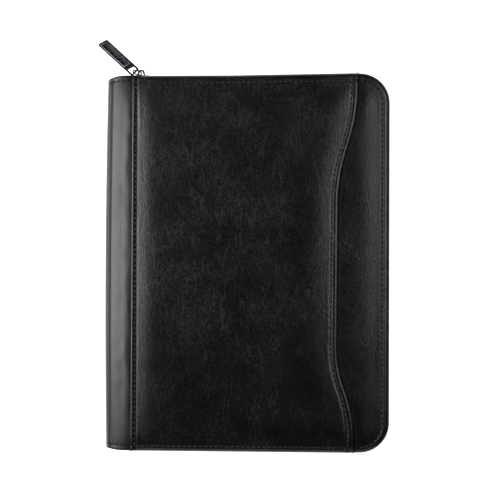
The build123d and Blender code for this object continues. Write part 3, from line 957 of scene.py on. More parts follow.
class Finishes:
    """The case's materials, each made once."""

    def __init__(self) -> None:
        """Makes them all."""
        self.cover = Leather("black_bonded_leather").make()
        drawn = {"grain": 5.5, "grain_depth": 0.07, "crease_depth": 0.015, "streak_depth": 0.05}
        drawn |= {"rubbed": "#161617", "roughness": 0.3, "falloff_low": 1.0}
        self.spine = Leather("black_leather_drawn_smooth", **drawn).make()
        plain = {"grain_depth": 0.08, "crease_depth": 0.02, "falloff_right": 1.0, "falloff_low": 1.0}
        self.inner = Leather("inner_bonded_leather", "#0d0d0e", "#1e1e20", 0.42, **plain).make()
        self.thread = Thread().make()
        self.pocket_thread = Thread("grey_pocket_thread", "#4a4b4f", "#6d6f74").make()
        # The spine hems' thread is a darker, duller copy of the thread: painted shade for stitches that lie
        # in their holes' shadow.
        waxed = {"roughness": 0.6, "sheen": 0.15}
        self.hem_thread = Thread("shaded_hem_thread", "#050506", "#101011", **waxed).make()
        self.tape = Cloth("woven_zip_tape", "#0e0e10", "#2a2a2d", pitch=0.9, size=(900.0, 12.0)).make()
        self.lining = Cloth("polyester_lining_twill", "#2c2e31", "#4a4d52", 0.8, roughness=0.7).make()
        self.elastic = Cloth("ribbed_elastic_web", "#141415", "#333437", 1.0, 0.15, slope=90.0).make()
        self.nylon = Moulded("black_nylon_coil", "#101011", "#1d1d1f", 0.36, 0.5, 0.02).make()
        self.foam = Moulded("polyurethane_foam", "#55585c", "#7c8085", 0.9, 0.7, 0.2).make()
        self.board = Moulded("grey_fibreboard", "#8b877f", "#a8a49a", 0.85, 1.1, 0.05).make()
        self.stiffener = Moulded("spine_stiffener_board", "#2a2a2c", "#3b3b3d", 0.7, 0.9, 0.04).make()
        self.chipboard = Moulded("pad_chipboard", "#a89a84", "#c4b79f", 0.88, 0.9, 0.05).make()
        self.header = Moulded("pad_header_tape", "#17181b", "#26282c", 0.55, 0.8, 0.04).make()
        self.slider = Metal("dark_nickel_slider", "#85878b", "#c3c5c8").make()
        self.wire = Moulded("black_lacquered_wire", "#030304", "#0b0b0c", 0.42, 0.6, 0.01).make()
        self.pull = Metal("gunmetal_pull_plate", "#060607", "#34363a", mottle=1.7).make()
        self.rim = Metal("worn_nickel_rim", "#18191b", "#a3a5a9", spread=0.25).make()
        self.inlay = Metal("mottled_nickel_inlay", "#010101", "#55575b", spread=0.17).make()
        self.paper = RuledPaper().make()


# Sewing


@dataclass(frozen=True)
class Stitch:
    """One stitch of the seams: a short slanting strand between two needle holes, sizes in mm.

    Attributes:
        bow: How far the strand's ends go down into the leather.
        lift: How far its middle stands over the seam's line.
    """

    length: float = 2.9
    width: float = 0.8
    height: float = 0.6
    slant: float = 13.0
    pitch: float = 4.6
    bow: float = 0.22
    lift: float = 0.1

    def strand(self) -> tuple[Array, list[list[int]]]:
        """Models the strand once.

        Returns:
            Its points in mm, lying along X, and its faces.
        """
        clear_selection()
        bpy.ops.mesh.primitive_uv_sphere_add(segments=8, ring_count=6, radius=1.0)
        size = (self.length / 2, self.width / 2, self.height / 2)
        with edit_mode():
            bpy.ops.transform.rotate(value=math.pi / 2, orient_axis="Y", center_override=(0, 0, 0))
            bpy.ops.transform.resize(value=size, center_override=(0, 0, 0))
        points, faces = take_model()
        points[:, 2] -= self.bow * (points[:, 0] / size[0]) ** 2
        return points, faces


STITCH = Stitch()
HEM_STITCH = Stitch(length=2.3, width=1.3, height=0.7, slant=0.0, pitch=4.0)
POCKET_STITCH = Stitch(length=2.1, width=0.5, height=0.4, slant=8.0, pitch=3.0)


def unit(rows: Array) -> Array:
    """Brings each row's vector to length 1."""
    return rows / np.linalg.norm(rows, axis=1, keepdims=True)


def copy_along(
    name: str, model: tuple[Array, list[list[int]]], origins: Array, along: Array, up: Array
) -> Piece:
    """Copies one small model to many places as one piece.

    Args:
        name: The piece's name.
        model: The model's points in mm and its faces.
        origins: Where each copy goes, in mm.
        along: The direction of each copy's X.
        up: The direction of each copy's Z.

    Returns:
        The piece.
    """
    points, faces = model
    up = unit(up)
    along = unit(along - up * np.sum(along * up, axis=1, keepdims=True))
    frames = np.stack([along, np.cross(up, along), up], axis=2)
    laid = np.einsum("nij,kj->nki", frames, points) + origins[:, None, :]
    all_faces = [[v + n * len(points) for v in f] for n in range(len(origins)) for f in faces]
    mesh = bpy.data.meshes.new(name)
    mesh.from_pydata((laid.reshape(-1, 3) * MM).tolist(), [], all_faces)
    piece = bpy.data.objects.new(name, mesh)
    bpy.context.collection.objects.link(piece)
    smooth(piece, 60.0)
    return piece


def read_line(line: Array, known: Array, at: Array) -> Array:
    """Finds the points of a line at these distances, where known gives its own points' distances."""
    return np.stack([np.interp(at, known, line[:, k]) for k in range(3)], axis=1)


def sew(name: str, line: Array, up: Array | tuple[float, float, float], stitch: Stitch = STITCH) -> Piece:
    """Sews a row of slanting stitches along a line, at an even pitch.

    Args:
        name: The piece's name.
        line: The seam's points in mm, on the leather.
        up: The way that the leather faces, once or for each point.
        stitch: The kind of stitch.

    Returns:
        The row as one piece.
    """
    known = np.append(0.0, np.cumsum(np.linalg.norm(np.diff(line, axis=0), axis=1)))
    count = max(2, int(known[-1] / stitch.pitch))
    mids = (np.arange(count) + 0.5) * known[-1] / count
    places = read_line(line, known, mids)
    ahead = read_line(line, known, mids + 0.6) - read_line(line, known, mids - 0.6)
    if isinstance(up, tuple):
        ups = np.tile(np.array(up, float), (count, 1))
    else:
        ups = up[np.argmin(np.linalg.norm(line[None, :, :] - places[:, None, :], axis=2), axis=1)]
    ups = unit(ups)
    turn = math.radians(stitch.slant)
    along = ahead * math.cos(turn) + np.cross(ups, ahead) * math.sin(turn)
    return copy_along(name, stitch.strand(), places + ups * stitch.lift, along, ups)


# The case


def edged(first: Array, last: Array, start: float, stop: float, count: int) -> tuple[Array, Array]:
    """Spaces places from one edge's section to another's.

    Args:
        first, last: Rows of inset and drop of the two edges.
        start, stop: Where the edges are.
        count: Number of even steps between their sections.

    Returns:
        The places and their drops.
    """
    middle = between(start + first[-1, 0], stop - last[-1, 0], count)
    places = np.concatenate([start + first[:, 0], middle, (stop - last[:, 0])[::-1]])
    return places, np.concatenate([first[:, 1], 0 * middle, last[::-1, 1]])


@dataclass
class FrontCover:
    """The upper cover: a main leather panel with a slash-pocket mouth and the side panel under it.

    Attributes are in mm:
        level: z of the padded middle.
        under: How far the side panel lies below the main one.
        mouth_mid, mouth_top, mouth_bottom: x of the pocket mouth's straight middle and its two ends.
        mouth_lean: How much x grows with y along its middle.
        top_bend, low_bend: y at which each S-bend starts and ends.
        seam, lap_seam, mouth_seam: Each seam's distance from its edge.
        thickness: The leather's thickness.
        ring_width: Width of the edge's section that follows the zip line.
        pocket_left, pocket_size: The pocket lining's left edge and its width and length.
    """

    finishes: Finishes
    level: float = 32.4
    under: float = 2.5
    mouth_mid: float = 78.9
    mouth_top: float = 95.7
    mouth_bottom: float = 93.4
    mouth_lean: float = 0.006
    top_bend: tuple[float, float] = (51.0, 152.0)
    low_bend: tuple[float, float] = (-72.0, -151.0)
    seam: float = 5.2
    lap_seam: float = 3.3
    mouth_seam: float = 5.0
    thickness: float = 0.8
    ring_width: float = 20.0
    pocket_left: float = -80.0
    pocket_size: tuple[float, float] = (142.0, 300.0)

    def mouth(self, y: Array | float) -> Array:
        """Gives x of the pocket mouth at these y.

        Args:
            y: Places along the mouth.

        Returns:
            One x for each.
        """
        x = self.mouth_mid + self.mouth_lean * np.clip(y, self.low_bend[0], self.top_bend[0])
        for bend, end in ((self.top_bend, self.mouth_top), (self.low_bend, self.mouth_bottom)):
            t = ramp(y, *bend)
            x = x + np.where(t < 0.5, 2 * t * t, 1 - 2 * (1 - t) ** 2) * (end - self.mouth_mid)
        return x

    def settle(self, points: Array) -> Array:
        """Moves points as the sewn cover sits: a little wide at the zip and high at its top right corner.

        Args:
            points: Points as they were laid out.

        Returns:
            The points moved.
        """
        x, y, z = points.T
        rise = 1.65 * ramp(x, -15.0, 95.0) * ramp(y, 40.0, HALF) - 0.4 * ramp(y, -60.0, -HALF)
        return columns_of(x + 0.8 * ramp(x, 60.0, RIGHT), y + rise, z)

    def roll(self, share: Array | float) -> Array | float:
        """Gives how wide the edge's roll is, from the bottom edge at -1 to the top edge at 1."""
        return 1.2 + 0.1 * ramp(share, 0, 1) ** 2 - 0.32 * ramp(share, 0, -1) ** 2

    def end_inset(self, y: Array) -> Array:
        """Gives the distance from the nearer end, as the end's section counts it."""
        return (HALF - np.abs(y)) / self.roll(np.sign(y))

    def fullness(self, inset: Array, y: Array, start: float, seam: float, loss: float) -> Array:
        """Gives how much of an edge's roll is left past its seam, since the padding thins towards the bottom.

        Args:
            inset: Distance from the edge.
            y: Places along the edge.
            start: The y from which it thins.
            seam: Where the roll starts.
            loss: Share that is lost at the bottom.

        Returns:
            One share for each place.
        """
        return 1 - loss * ramp(y, start, -160.0) ** 1.7 * eased(ramp(inset, seam, seam + 2.6))

    def lap_fall(self, inset: Array, drop: Array, y: Array) -> Array:
        """Gives the drop beside the lap: less of it is left at the bottom and at the top end."""
        low = self.fullness(inset, y, 0.0, 3.4, 0.4)
        return drop * (low * self.fullness(inset, -y, -105.0, 3.4, 0.4))

    def mouth_fall(self, inset: Array, drop: Array, y: Array) -> Array:
        """Gives the drop beside the pocket mouth: less of it is left at the bottom."""
        return drop * self.fullness(inset, y, 40.0, 5.2, 0.55)

    def height(self, x: Array, y: Array) -> Array:
        """Gives z of the main panel's outside.

        Args:
            x, y: Places on the panel.

        Returns:
            One height for each.
        """
        in_lap, in_mouth = x - LAP, self.mouth(y) - x
        lap = self.lap_fall(in_lap, LAP_EDGE.drop(in_lap), y)
        mouth = self.mouth_fall(in_mouth, MOUTH_EDGE.drop(in_mouth), y)
        return self.level - join_drops(FRONT_EDGE.drop(self.end_inset(y)), join_drops(lap, mouth))

    def side_height(self, drop: Array | float) -> Array | float:
        """Gives z of the side panel's outside at these drops of the edge's section."""
        return self.level - self.under - 0.8 * drop

    def main_panel(self) -> None:
        """Lays out the main panel."""
        ends, lap, mouth = FRONT_EDGE.rows(), LAP_EDGE.rows(), MOUTH_EDGE.rows()[::-1]
        bottom, top = (ends * np.array([self.roll(share), 1.0]) for share in (-1.0, 1.0))
        row_y, row_drop = edged(bottom, top, -HALF, HALF, 120)
        across = between(0, 1, 40)

        def place(i: Array, j: Array) -> Placed:
            """Lays the panel from the lap to the mouth.

            Args:
                i, j: Column and row numbers.

            Returns:
                Points in mm and their attributes.
            """
            y = row_y[j]
            edge = self.mouth(y)
            k = i - len(lap)
            m = k - len(across)
            at_lap, at_mouth = lap[np.minimum(i, len(lap) - 1)], mouth[np.clip(m, 0, len(mouth) - 1)]
            start, stop = LAP + lap[-1, 0], edge - mouth[0, 0]
            flat = start + (stop - start) * across[np.clip(k, 0, len(across) - 1)]
            parts = [k < 0, m < 0]
            x = np.select(parts, [LAP + at_lap[:, 0], flat], edge - at_mouth[:, 0])
            fall = np.select(parts, [self.lap_fall(*at_lap.T, y), 0 * y], self.mouth_fall(*at_mouth.T, y))
            inset, in_lap, in_mouth = self.end_inset(y), x - LAP, edge - x
            calm = ramp(np.minimum.reduce([inset, in_lap, in_mouth]), 0, 9)
            z = self.level - join_drops(row_drop[j], fall) + (relief(x, y, 2.0) - 0.2) * calm
            from_lap, from_mouth = in_lap - self.lap_seam, in_mouth - self.mouth_seam
            # The lap's groove widens towards the bottom.
            wide = 0.45 * ramp(y, 0, -160.0)
            lap_groove = bell(from_lap - wide, 1.45 + wide, 4)
            mouth_groove, end_groove = bell(from_mouth, 0.95, 4), bell(inset - self.seam, 0.9, 4)
            # The grooves are dulled, and their colour is darkened as painted shade.
            sunk = np.maximum.reduce([lap_groove, 0.7 * mouth_groove, 0.45 * end_groove])
            pulled = bell(np.minimum(np.abs(from_lap), np.abs(from_mouth)), 7.0)
            return self.settle(columns_of(x, y, z)), {"seam": pulled, "sunk": sunk}

        columns = len(lap) + len(across) + len(mouth)
        piece = add_sheet("front_main_leather", columns, len(row_y), place)
        thicken(piece, self.thickness)
        dress(piece, self.finishes.cover, "black_leather", Body.FRONT, "front_main_panel")

    def side_panel(self) -> None:
        """Lays out the side panel, which goes on under the main panel as far as the pocket's depth."""
        line = ZipOutline(left=58.0)
        along = line.stations()
        ring = FRONT_EDGE.rows()
        ring = ring[ring[:, 0] <= self.ring_width]
        inner = np.linspace(0, 1, 22)[1:]

        def place(i: Array, j: Array) -> Placed:
            """Lays the panel from the zip inwards.

            Args:
                i, j: Column and row numbers.

            Returns:
                Points in mm and their attributes.
            """
            s = along[i]
            on_ring = j < len(ring)
            at = ring[np.minimum(j, len(ring) - 1)]
            t = np.where(on_ring, 0.0, inner[np.clip(j - len(ring), 0, len(inner) - 1)])
            _, _, _, up = line.at(s, 0.0)
            x, y, _, _ = line.at(s, at[:, 0] * self.roll(up) + 0.2)
            x, y = x + (line.left - x) * t, y + (line.left_end(s, 20.0) - y) * t
            drop = np.where(on_ring, at[:, 1], FRONT_EDGE.drop(ring[-1, 0] + t * 30.0))
            z = self.side_height(drop)
            # The edge that is turned under sits a little higher.
            z = np.where(drop > 4.0, 24.0 + (z - 23.5) * 0.9, z)
            past = x - self.mouth(y)
            z = z - 0.6 * bell(past, 4.5) * (drop < 4.0)
            z = z + (relief(x, y, 5.0) - 0.1) * ramp(HALF - np.abs(y), 0, 12) * ramp(RIGHT - x, 0, 12)
            inset = np.where(on_ring, at[:, 0], self.ring_width)
            # Painted shadow: the strip just past the pocket mouth is darkened, as if shaded by the main
            # panel's edge.
            shade = bell(np.maximum(past, 0), 1.7, 4)
            sunk = np.maximum(0.75 * bell(inset - self.seam, 0.9, 4), shade)
            return self.settle(columns_of(x, y, z)), {"seam": bell(past, 5.0), "sunk": sunk}

        piece = add_sheet("front_side_leather", len(along), len(ring) + len(inner), place)
        thicken(piece, self.thickness)
        dress(piece, self.finishes.cover, "black_leather", Body.FRONT, "front_side_panel")

    def filling(self) -> None:
        """Lays the foam under the leather and the pocket's lining, both shut in."""

        def foam(x: Array, y: Array) -> Array:
            """Height of the foam, under the side panel's step and the main panel's rolls.

            Args:
                x, y: Places on the foam.

            Returns:
                One height for each.
            """
            side = self.side_height(FRONT_EDGE.drop(np.minimum(HALF - np.abs(y), RIGHT - x))) - 1.35
            main = self.height(np.minimum(x, self.mouth(y)), y) - 1.7
            return np.maximum(np.where(x > 56.0, np.minimum(side, main), main), 28.05)

        pad = zip_sheet("front_foam_pad", ZipOutline(left=-84.0), 13.0, 60, foam)
        thicken(pad, 1.0, 40.0)
        dress(pad, self.finishes.foam, "foam", Body.FRONT, "front_padding")
        wide, tall = self.pocket_size

        def place(i: Array, j: Array) -> Placed:
            """Lays the pocket lining flat under the main panel."""
            x, y = self.pocket_left + i * wide / 47, -tall / 2 + j * tall / 79
            return columns_of(x, y, self.height(x, y) - 1.3), {}

        lining = add_sheet("front_pocket_cloth", 48, 80, place)
        thicken(lining, 0.25, 40.0)
        dress(lining, self.finishes.lining, "lining", Body.FRONT, "front_pocket_lining")

    def seams(self) -> None:
        """Sews the panels' seams."""
        y = np.linspace(-HALF + 4.0, HALF - 4.0, 400)
        lines = {"lap": (0 * y + LAP + self.lap_seam, y), "mouth": (self.mouth(y) - self.mouth_seam, y)}
        for name, sign in (("top", 1), ("bottom", -1)):
            edge = sign * (HALF - self.seam * self.roll(sign))
            x = np.linspace(LAP + 4.0, float(self.mouth(edge)) - 5.0, 300)
            lines[name] = (x, np.full_like(x, edge))
        rows = {name: columns_of(x, y, self.height(x, y)) for name, (x, y) in lines.items()}
        line = ZipOutline(left=97.5)
        s = np.linspace(0, line.total, 400)
        _, _, _, up = line.at(s, 0.0)
        x, y, _, _ = line.at(s, self.seam * self.roll(up) + 0.2)
        rows["side"] = columns_of(x, y, self.side_height(FRONT_EDGE.drop(self.seam)))
        for name, points in rows.items():
            row = sew(f"front_{name}_stitches", self.settle(points), (0, 0, 1))
            dress(row, self.finishes.thread, "black_leather", Body.FRONT)

    def build(self) -> None:
        """Builds and dresses the whole cover."""
        self.main_panel()
        self.side_panel()
        self.filling()
        self.seams()


@dataclass
class BackCover:
    """The lower cover: one leather panel that the case rests on.

    Attributes are in mm:
        seam, lap_seam: Each seam's distance from its edge.
        lap_share: How much of the front's lap section the flatter back has.
        ring_width: Width of the edge's section that follows the zip line.
    """

    finishes: Finishes
    seam: float = 5.2
    lap_seam: float = 3.3
    lap_share: float = 0.62
    ring_width: float = 20.0

    def depth(self, x: Array, y: Array) -> Array:
        """Gives z of the panel's outside, where the nearest edge is straight."""
        inset = np.minimum(HALF - np.abs(y), RIGHT - x)
        return join_drops(BACK_EDGE.drop(inset), LAP_EDGE.drop(x - LAP) * self.lap_share)

    def filling(self) -> None:
        """Lays the foam between leather and board."""
        line = ZipOutline(left=-84.0)
        pad = zip_sheet("back_foam_pad", line, 12.0, 50, lambda x, y: self.depth(x, y) + 2.1)
        thicken(pad, 1.1, 40.0)
        dress(pad, self.finishes.foam, "foam", Body.BACK, "back_padding")

    def seams(self) -> None:
        """Sews the panel's seams."""
        y = np.linspace(-HALF + 4.0, HALF - 4.0, 400)
        x = np.full_like(y, LAP + self.lap_seam)
        rows = {"lap": columns_of(x, y, self.depth(x, y))}
        line = ZipOutline(left=LAP + 5.0)
        x, y, _, _ = line.at(np.linspace(0, line.total, 700), self.seam)
        rows["edge"] = columns_of(x, y, BACK_EDGE.drop(self.seam))
        for name, points in rows.items():
            row = sew(f"back_{name}_stitches", points, (0, 0, -1))
            dress(row, self.finishes.thread, "black_leather", Body.BACK)

    def panel(self) -> None:
        """Lays out the panel from the zip inwards to the lap over the spine leather."""
        line = ZipOutline(left=LAP)
        along = line.stations(2.9, 1.6)
        ring = BACK_EDGE.rows()
        ring = ring[ring[:, 0] <= self.ring_width]
        lap = LAP_EDGE.rows(2)[::-1]
        inner = np.linspace(0, 1, 26)[1:]

        def place(i: Array, j: Array) -> Placed:
            """Lays the panel from the zip to the lap.

            Args:
                i, j: Column and row numbers.

            Returns:
                Points in mm and their attributes.
            """
            s = along[i]
            on_ring = j < len(ring)
            at = ring[np.minimum(j, len(ring) - 1)]
            t = np.where(on_ring, 0.0, inner[np.clip(j - len(ring), 0, len(inner) - 1)])
            past = j - len(ring) - len(inner)
            x, y, _, _ = line.at(s, at[:, 0])
            x = x + (np.minimum(x, LAP + lap[0, 0]) - x) * t
            y = y + (line.left_end(s, 20.0) - y) * t
            x = np.where(past < 0, x, np.minimum(x, LAP + lap[np.clip(past, 0, len(lap) - 1), 0]))
            drop = np.where(on_ring, at[:, 1], BACK_EDGE.drop(self.ring_width + t * 30))
            z = join_drops(drop, LAP_EDGE.drop(np.maximum(x - LAP, 0.0)) * self.lap_share)
            from_edge = np.minimum(HALF - np.abs(y), RIGHT - x) - self.seam
            groove = np.minimum(np.abs(from_edge), np.abs(x - LAP - self.lap_seam))
            # The grooves are dulled, and their colour is darkened as painted shade.
            return columns_of(x, y, z), {"seam": bell(x - LAP - 2.7, 7.0), "sunk": bell(groove, 1.2, 4)}

        rows = len(ring) + len(inner) + len(lap)
        piece = add_sheet("back_leather", len(along), rows, place, flip=True)
        # Rows run together beside the lap's ends: points nearer than this are merged.
        with edit_mode():
            bpy.ops.mesh.remove_doubles(threshold=0.02 * MM)
            bpy.ops.mesh.dissolve_degenerate(threshold=0.02 * MM)
        thicken(piece, 0.8)
        dress(piece, self.finishes.cover, "black_leather", Body.BACK, "back_cover_panel")

    def build(self) -> None:
        """Builds and dresses the whole cover."""
        self.panel()
        self.filling()
        self.seams()


def arc(
    centre: tuple[float, float], radius: float, first: float, last: float, count: int
) -> tuple[Array, Array]:
    """Draws an arc.

    Args:
        centre: Its centre's x and z.
        radius: Its radius.
        first, last: The angles it starts and ends at, in degrees.
        count: Number of points.

    Returns:
        Points x, z and the outward directions there.
    """
    turn = np.radians(np.linspace(first, last, count))
    out = columns_of(np.cos(turn), np.sin(turn))
    return np.array(centre) + radius * out, out


@dataclass
class Spine:
    """The spine leather, which turns from under one cover's lap to under the other's.

    Attributes are in mm, for the upper half; the lower one mirrors it at the middle height:
        apex, apex_radius: Centre (x, z) and radius of the arc round the spine's outermost line.
        flap, flap_radius: The same of the flatter arc that goes on to the lap.
        meet: The angle in degrees at which the two arcs meet.
        tuck: x of the end that is tucked under the lap.
        end_cut: How far the top and the bottom end are cut back at the apex.
        fold_at: The point of the section where the leather is creased.
        hem: Distance of the hem's stitches from the end.
        inside: How far the lining lies inside the leather.
    """

    finishes: Finishes
    middle: float = 16.0
    apex: tuple[float, float] = (-115.0, 16.0)
    apex_radius: float = 9.0
    flap: tuple[float, float] = (-103.0, 0.0)
    flap_radius: float = 29.0
    meet: float = 126.87
    tuck: float = -93.0
    end_cut: tuple[float, float] = (2.8, 1.7)
    fold_at: int = 17
    hem: float = 4.3
    inside: float = 2.7
    lining_half: float = 155.5

    def section(self) -> tuple[Array, Array]:
        """Gives the upper half's section from its apex to its tucked end.

        Returns:
            Points x, z and the outward directions there.
        """
        x = np.linspace(self.flap[0], self.tuck, 8)[1:]
        a, a_out = arc(self.apex, self.apex_radius, 180.0, self.meet, 16)
        b, b_out = arc(self.flap, self.flap_radius, self.meet, 90.0, 36)
        c, c_out = columns_of(x, self.flap_radius), columns_of(0 * x, 1.0)
        return np.vstack([a, b[1:], c]), np.vstack([a_out, b_out[1:], c_out])

    def mirrored(self, z: Array | float, face: Face) -> Array | float:
        """Brings a height of the upper half to this half."""
        return z if face is Face.FRONT else 2 * self.middle - z

    def bow(self, x: Array, y: Array) -> Array:
        """Gives how far the spine stands out past its ends, most at the middle of its apex."""
        return (2.5 - 1.6 * (y / HALF) ** 2) * ramp(x, self.flap[0], -120.0)

    def cut(self, x: Array, y: Array) -> Array:
        """Gives how far the ends are cut back, from nothing at the lap to most at the apex."""
        return np.where(y > 0, *self.end_cut) * ramp(x, -108.0, -124.0) ** 2.4

    def tilt(self, x: Array, y: Array) -> Array:
        """Gives how far the flap falls away from the lap: least at its ends, and nothing at the apex."""
        slope = 0.085 * (1 - 0.85 * bell(HALF - np.abs(y), 26.0))
        return slope * np.clip(x + 101.0, -8.5, 0.0) * eased(ramp(x, -121.0, -110.0))

    def bend(self, piece: Piece, face: Face) -> None:
        """Bakes a piece's placement into its points. The fold's ends are worked out for one half but not
        used.

        Args:
            piece: The piece.
            face: Which half.
        """
        start, end = (
            (x * MM, 0.0, self.mirrored(z, face) * MM) for x, z in ((-123.6, 20.8), (-117.2, 25.6))
        )
        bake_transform(piece)

    def hem_stitches(self, face: Face) -> None:
        """Sews the hems at both ends of one half.

        Args:
            face: Which half.
        """
        points, out = self.section()
        keep = (points[:, 0] < -103.2) & (points[:, 1] > 17.0)
        (x, z), (out_x, out_z) = points[keep].T, out[keep].T
        ups = columns_of(out_x, 0.0, face.value * out_z)
        for name, end in (("top", 1), ("bottom", -1)):
            y = np.full_like(x, end * (HALF - self.hem))
            y = y * (1 - self.cut(x, y) / HALF)
            line = columns_of(x - self.bow(x, y), y, self.mirrored(z + self.tilt(x, y), face))
            row = sew(f"spine_hem_stitches_{name}_{face.side}", line - ups * 0.1, ups, HEM_STITCH)
            dress(row, self.finishes.hem_thread, "black_leather", None)
            self.bend(row, face)

    def lining(self, face: Face) -> None:
        """Lays out one half of the spine's lining, from the spine's middle to the cover's lining.

        Args:
            face: Which half.
        """
        a, _ = arc(self.apex, self.apex_radius - self.inside, 180.0, 128.0, 12)
        b, _ = arc(self.flap, self.flap_radius - self.inside, 126.0, 104.0, 14)
        tail = np.array([(-107.6, 25.3), (-106.0, 24.9), (-104.5, 24.75)])
        points = np.vstack([a, b, tail])
        rows = np.linspace(-self.lining_half, self.lining_half, 70)

        def place(i: Array, j: Array) -> Placed:
            """Lays the half from the spine's middle up.

            Args:
                i, j: Column and row numbers.

            Returns:
                Points in mm and their attributes.
            """
            (x, z), y = points[i].T, rows[j]
            loose = ramp(z, 17.0, 22.0) * (i < len(points) - len(tail))
            z = z + 0.25 * waves(x * 3.0 / 40.0, y / 40.0, 6.0) * loose
            return columns_of(x, y, self.mirrored(z, face)), {}

        name = f"spine_cloth_{face.side}"
        piece = add_sheet(name, len(points), len(rows), place, flip=face is Face.FRONT)
        thicken(piece, 0.4)
        solids = ["spine_lining"] if face is Face.FRONT else []
        dress(piece, self.finishes.lining, "lining", None, *solids)
        self.bend(piece, face)

    def leather(self, face: Face) -> None:
        """Lays out one half of the spine leather.

        Args:
            face: Which half.
        """
        points, out = self.section()
        hem = HEM_EDGE.rows()
        row_y, row_in = edged(hem, hem, -HALF, HALF, 110)

        def place(i: Array, j: Array) -> Placed:
            """Lays the half from the apex up.

            Args:
                i, j: Column and row numbers.

            Returns:
                Points in mm and their attributes.
            """
            at, at_z = points[i].T
            cut = self.cut(at, row_y[j])
            y = row_y[j] * (1 - cut / HALF)
            sink = row_in[j] + 0.7 * bell(i - self.fold_at, 2.3)
            x = at - out[i, 0] * sink - self.bow(at, y)
            on_flap = ramp(at, -118.0, -110.0)
            z = at_z - out[i, 1] * sink + self.tilt(at, y)
            z = z + 0.17 * waves(x / 8.0, y / 15.0, 3.0) * on_flap * (at < -101.5)
            from_end = HALF - cut - np.abs(y)
            # The flap is duller and darker towards its ends, and the fold and the hem's seam are pressed dull
            # and darkened with painted shade.
            dull = 0.5 * bell(from_end, 19.0) * on_flap
            folded = 0.55 * bell(i - self.fold_at, 2.4) + 0.25 * bell(from_end - self.hem, 0.8)
            marks = {"seam": bell(x + 103.0, 5.0), "sunk": np.maximum(folded, dull)}
            return columns_of(x, y, self.mirrored(z, face)), marks

        name = f"spine_leather_{face.side}"
        piece = add_sheet(name, len(points), len(row_y), place, flip=face is Face.BACK)
        thicken(piece, 1.0)
        solids = ("front_spine_flap", "spine_skin") if face is Face.FRONT else ("back_spine_flap",)
        dress(piece, self.finishes.spine, "black_leather", None, *solids)
        self.bend(piece, face)

    def build(self) -> None:
        """Builds and dresses the spine."""
        for face in Face:
            self.leather(face)
            self.hem_stitches(face)
            self.lining(face)
        coat(self.finishes.stiffener, "spine_stiffener")


@dataclass
class ZipChain:
    """The zip: two woven tapes and two rows of teeth that meet at the case's middle height.

    Attributes are in mm:
        section: The lower tape's inset and z, from its flange between lining and board to the teeth.
        mirror: Sum of the lower and the upper tape's heights.
        tooth: A tooth's length along the zip, its depth and its height.
        parting: z at which the rows meet beside the slider.
    """

    finishes: Finishes
    section: tuple[tuple[float, float], ...] = (
        (9.0, 5.4), (3.4, 5.4), (2.3, 5.6), (1.7, 6.3), (1.4, 7.6), (1.3, 9.2), (1.45, 10.8), (1.6, 12.4),
    )
    mirror: float = 30.0
    pitch: float = 1.55
    tooth: tuple[float, float, float] = (0.78, 1.9, 3.4)
    tooth_bevel: float = 0.24
    tooth_inset: float = 1.75
    parting: float = 16.0

    def tape(self, face: Face) -> None:
        """Lays out one tape.

        Args:
            face: Which half.
        """
        line = ZipOutline(left=-108.0)
        along = line.stations(2.6, 1.5)
        rows = np.array(self.section)
        if face is Face.FRONT:
            rows[:, 1] = self.mirror - rows[:, 1]

        def place(i: Array, j: Array) -> Placed:
            """Lays the tape from the flange to the teeth."""
            x, y, _, _ = line.at(along[i], rows[j, 0])
            return columns_of(x, y, rows[j, 1]), {}

        name = f"zip_tape_woven_{face.side}"
        piece = add_sheet(name, len(along), len(rows), place, flip=face is Face.BACK)
        thicken(piece, 0.5, 40.0)
        dress(piece, self.finishes.tape, "zip_tape", face.body, f"zip_tape_{face.side}")

    def teeth(self, face: Face) -> None:
        """Sets one row of teeth along its tape, half a pitch from the other row.

        Args:
            face: Which half.
        """
        clear_selection()
        bpy.ops.mesh.primitive_cube_add(size=1.0)
        with edit_mode():
            bpy.ops.transform.resize(value=self.tooth)
            bpy.ops.mesh.bevel(offset=self.tooth_bevel, segments=1, affect="EDGES")
        model = take_model()
        left, shift, z = (-86.0, 0.25, 16.35) if face is Face.FRONT else (-101.0, 0.75, 13.65)
        line = ZipOutline(left=left)
        count = int(line.total / self.pitch)
        x, y, nx, ny = line.at((np.arange(count) + shift) * line.total / count, self.tooth_inset)
        out, up = columns_of(nx, ny, 0.0), np.tile([0.0, 0.0, 1.0], (count, 1))
        piece = copy_along(f"zip_teeth_{face.side}", model, columns_of(x, y, z), np.cross(out, up), up)
        self.part_teeth(piece, face)
        dress(piece, self.finishes.nylon, "zip_coil", face.body, f"zip_coil_{face.side}")

    def part_teeth(self, piece: Piece, face: Face) -> None:
        """Makes room for the slider's post on the straight top run: there the rows meet edge to edge.

        Args:
            piece: The row of teeth.
            face: Which half.
        """
        x, y, z = (get_points(piece) / MM).T
        edge = self.parting + 0.06 * face.value
        low, high = (edge, z.max()) if face is Face.FRONT else (z.min(), edge)
        met = low + (z - z.min()) / (z.max() - z.min()) * (high - low)
        share = np.where(y > 158.0, ramp(x, 106.0, 98.0), 0.0)
        set_points(piece, columns_of(x, y, z + (met - z) * share), {})

    def build(self) -> None:
        """Builds and dresses the zip."""
        for face in Face:
            self.tape(face)
            self.teeth(face)
        coat(self.finishes.slider, "zip_top_stop_back", "zip_top_stop_front", "zip_bottom_stop")


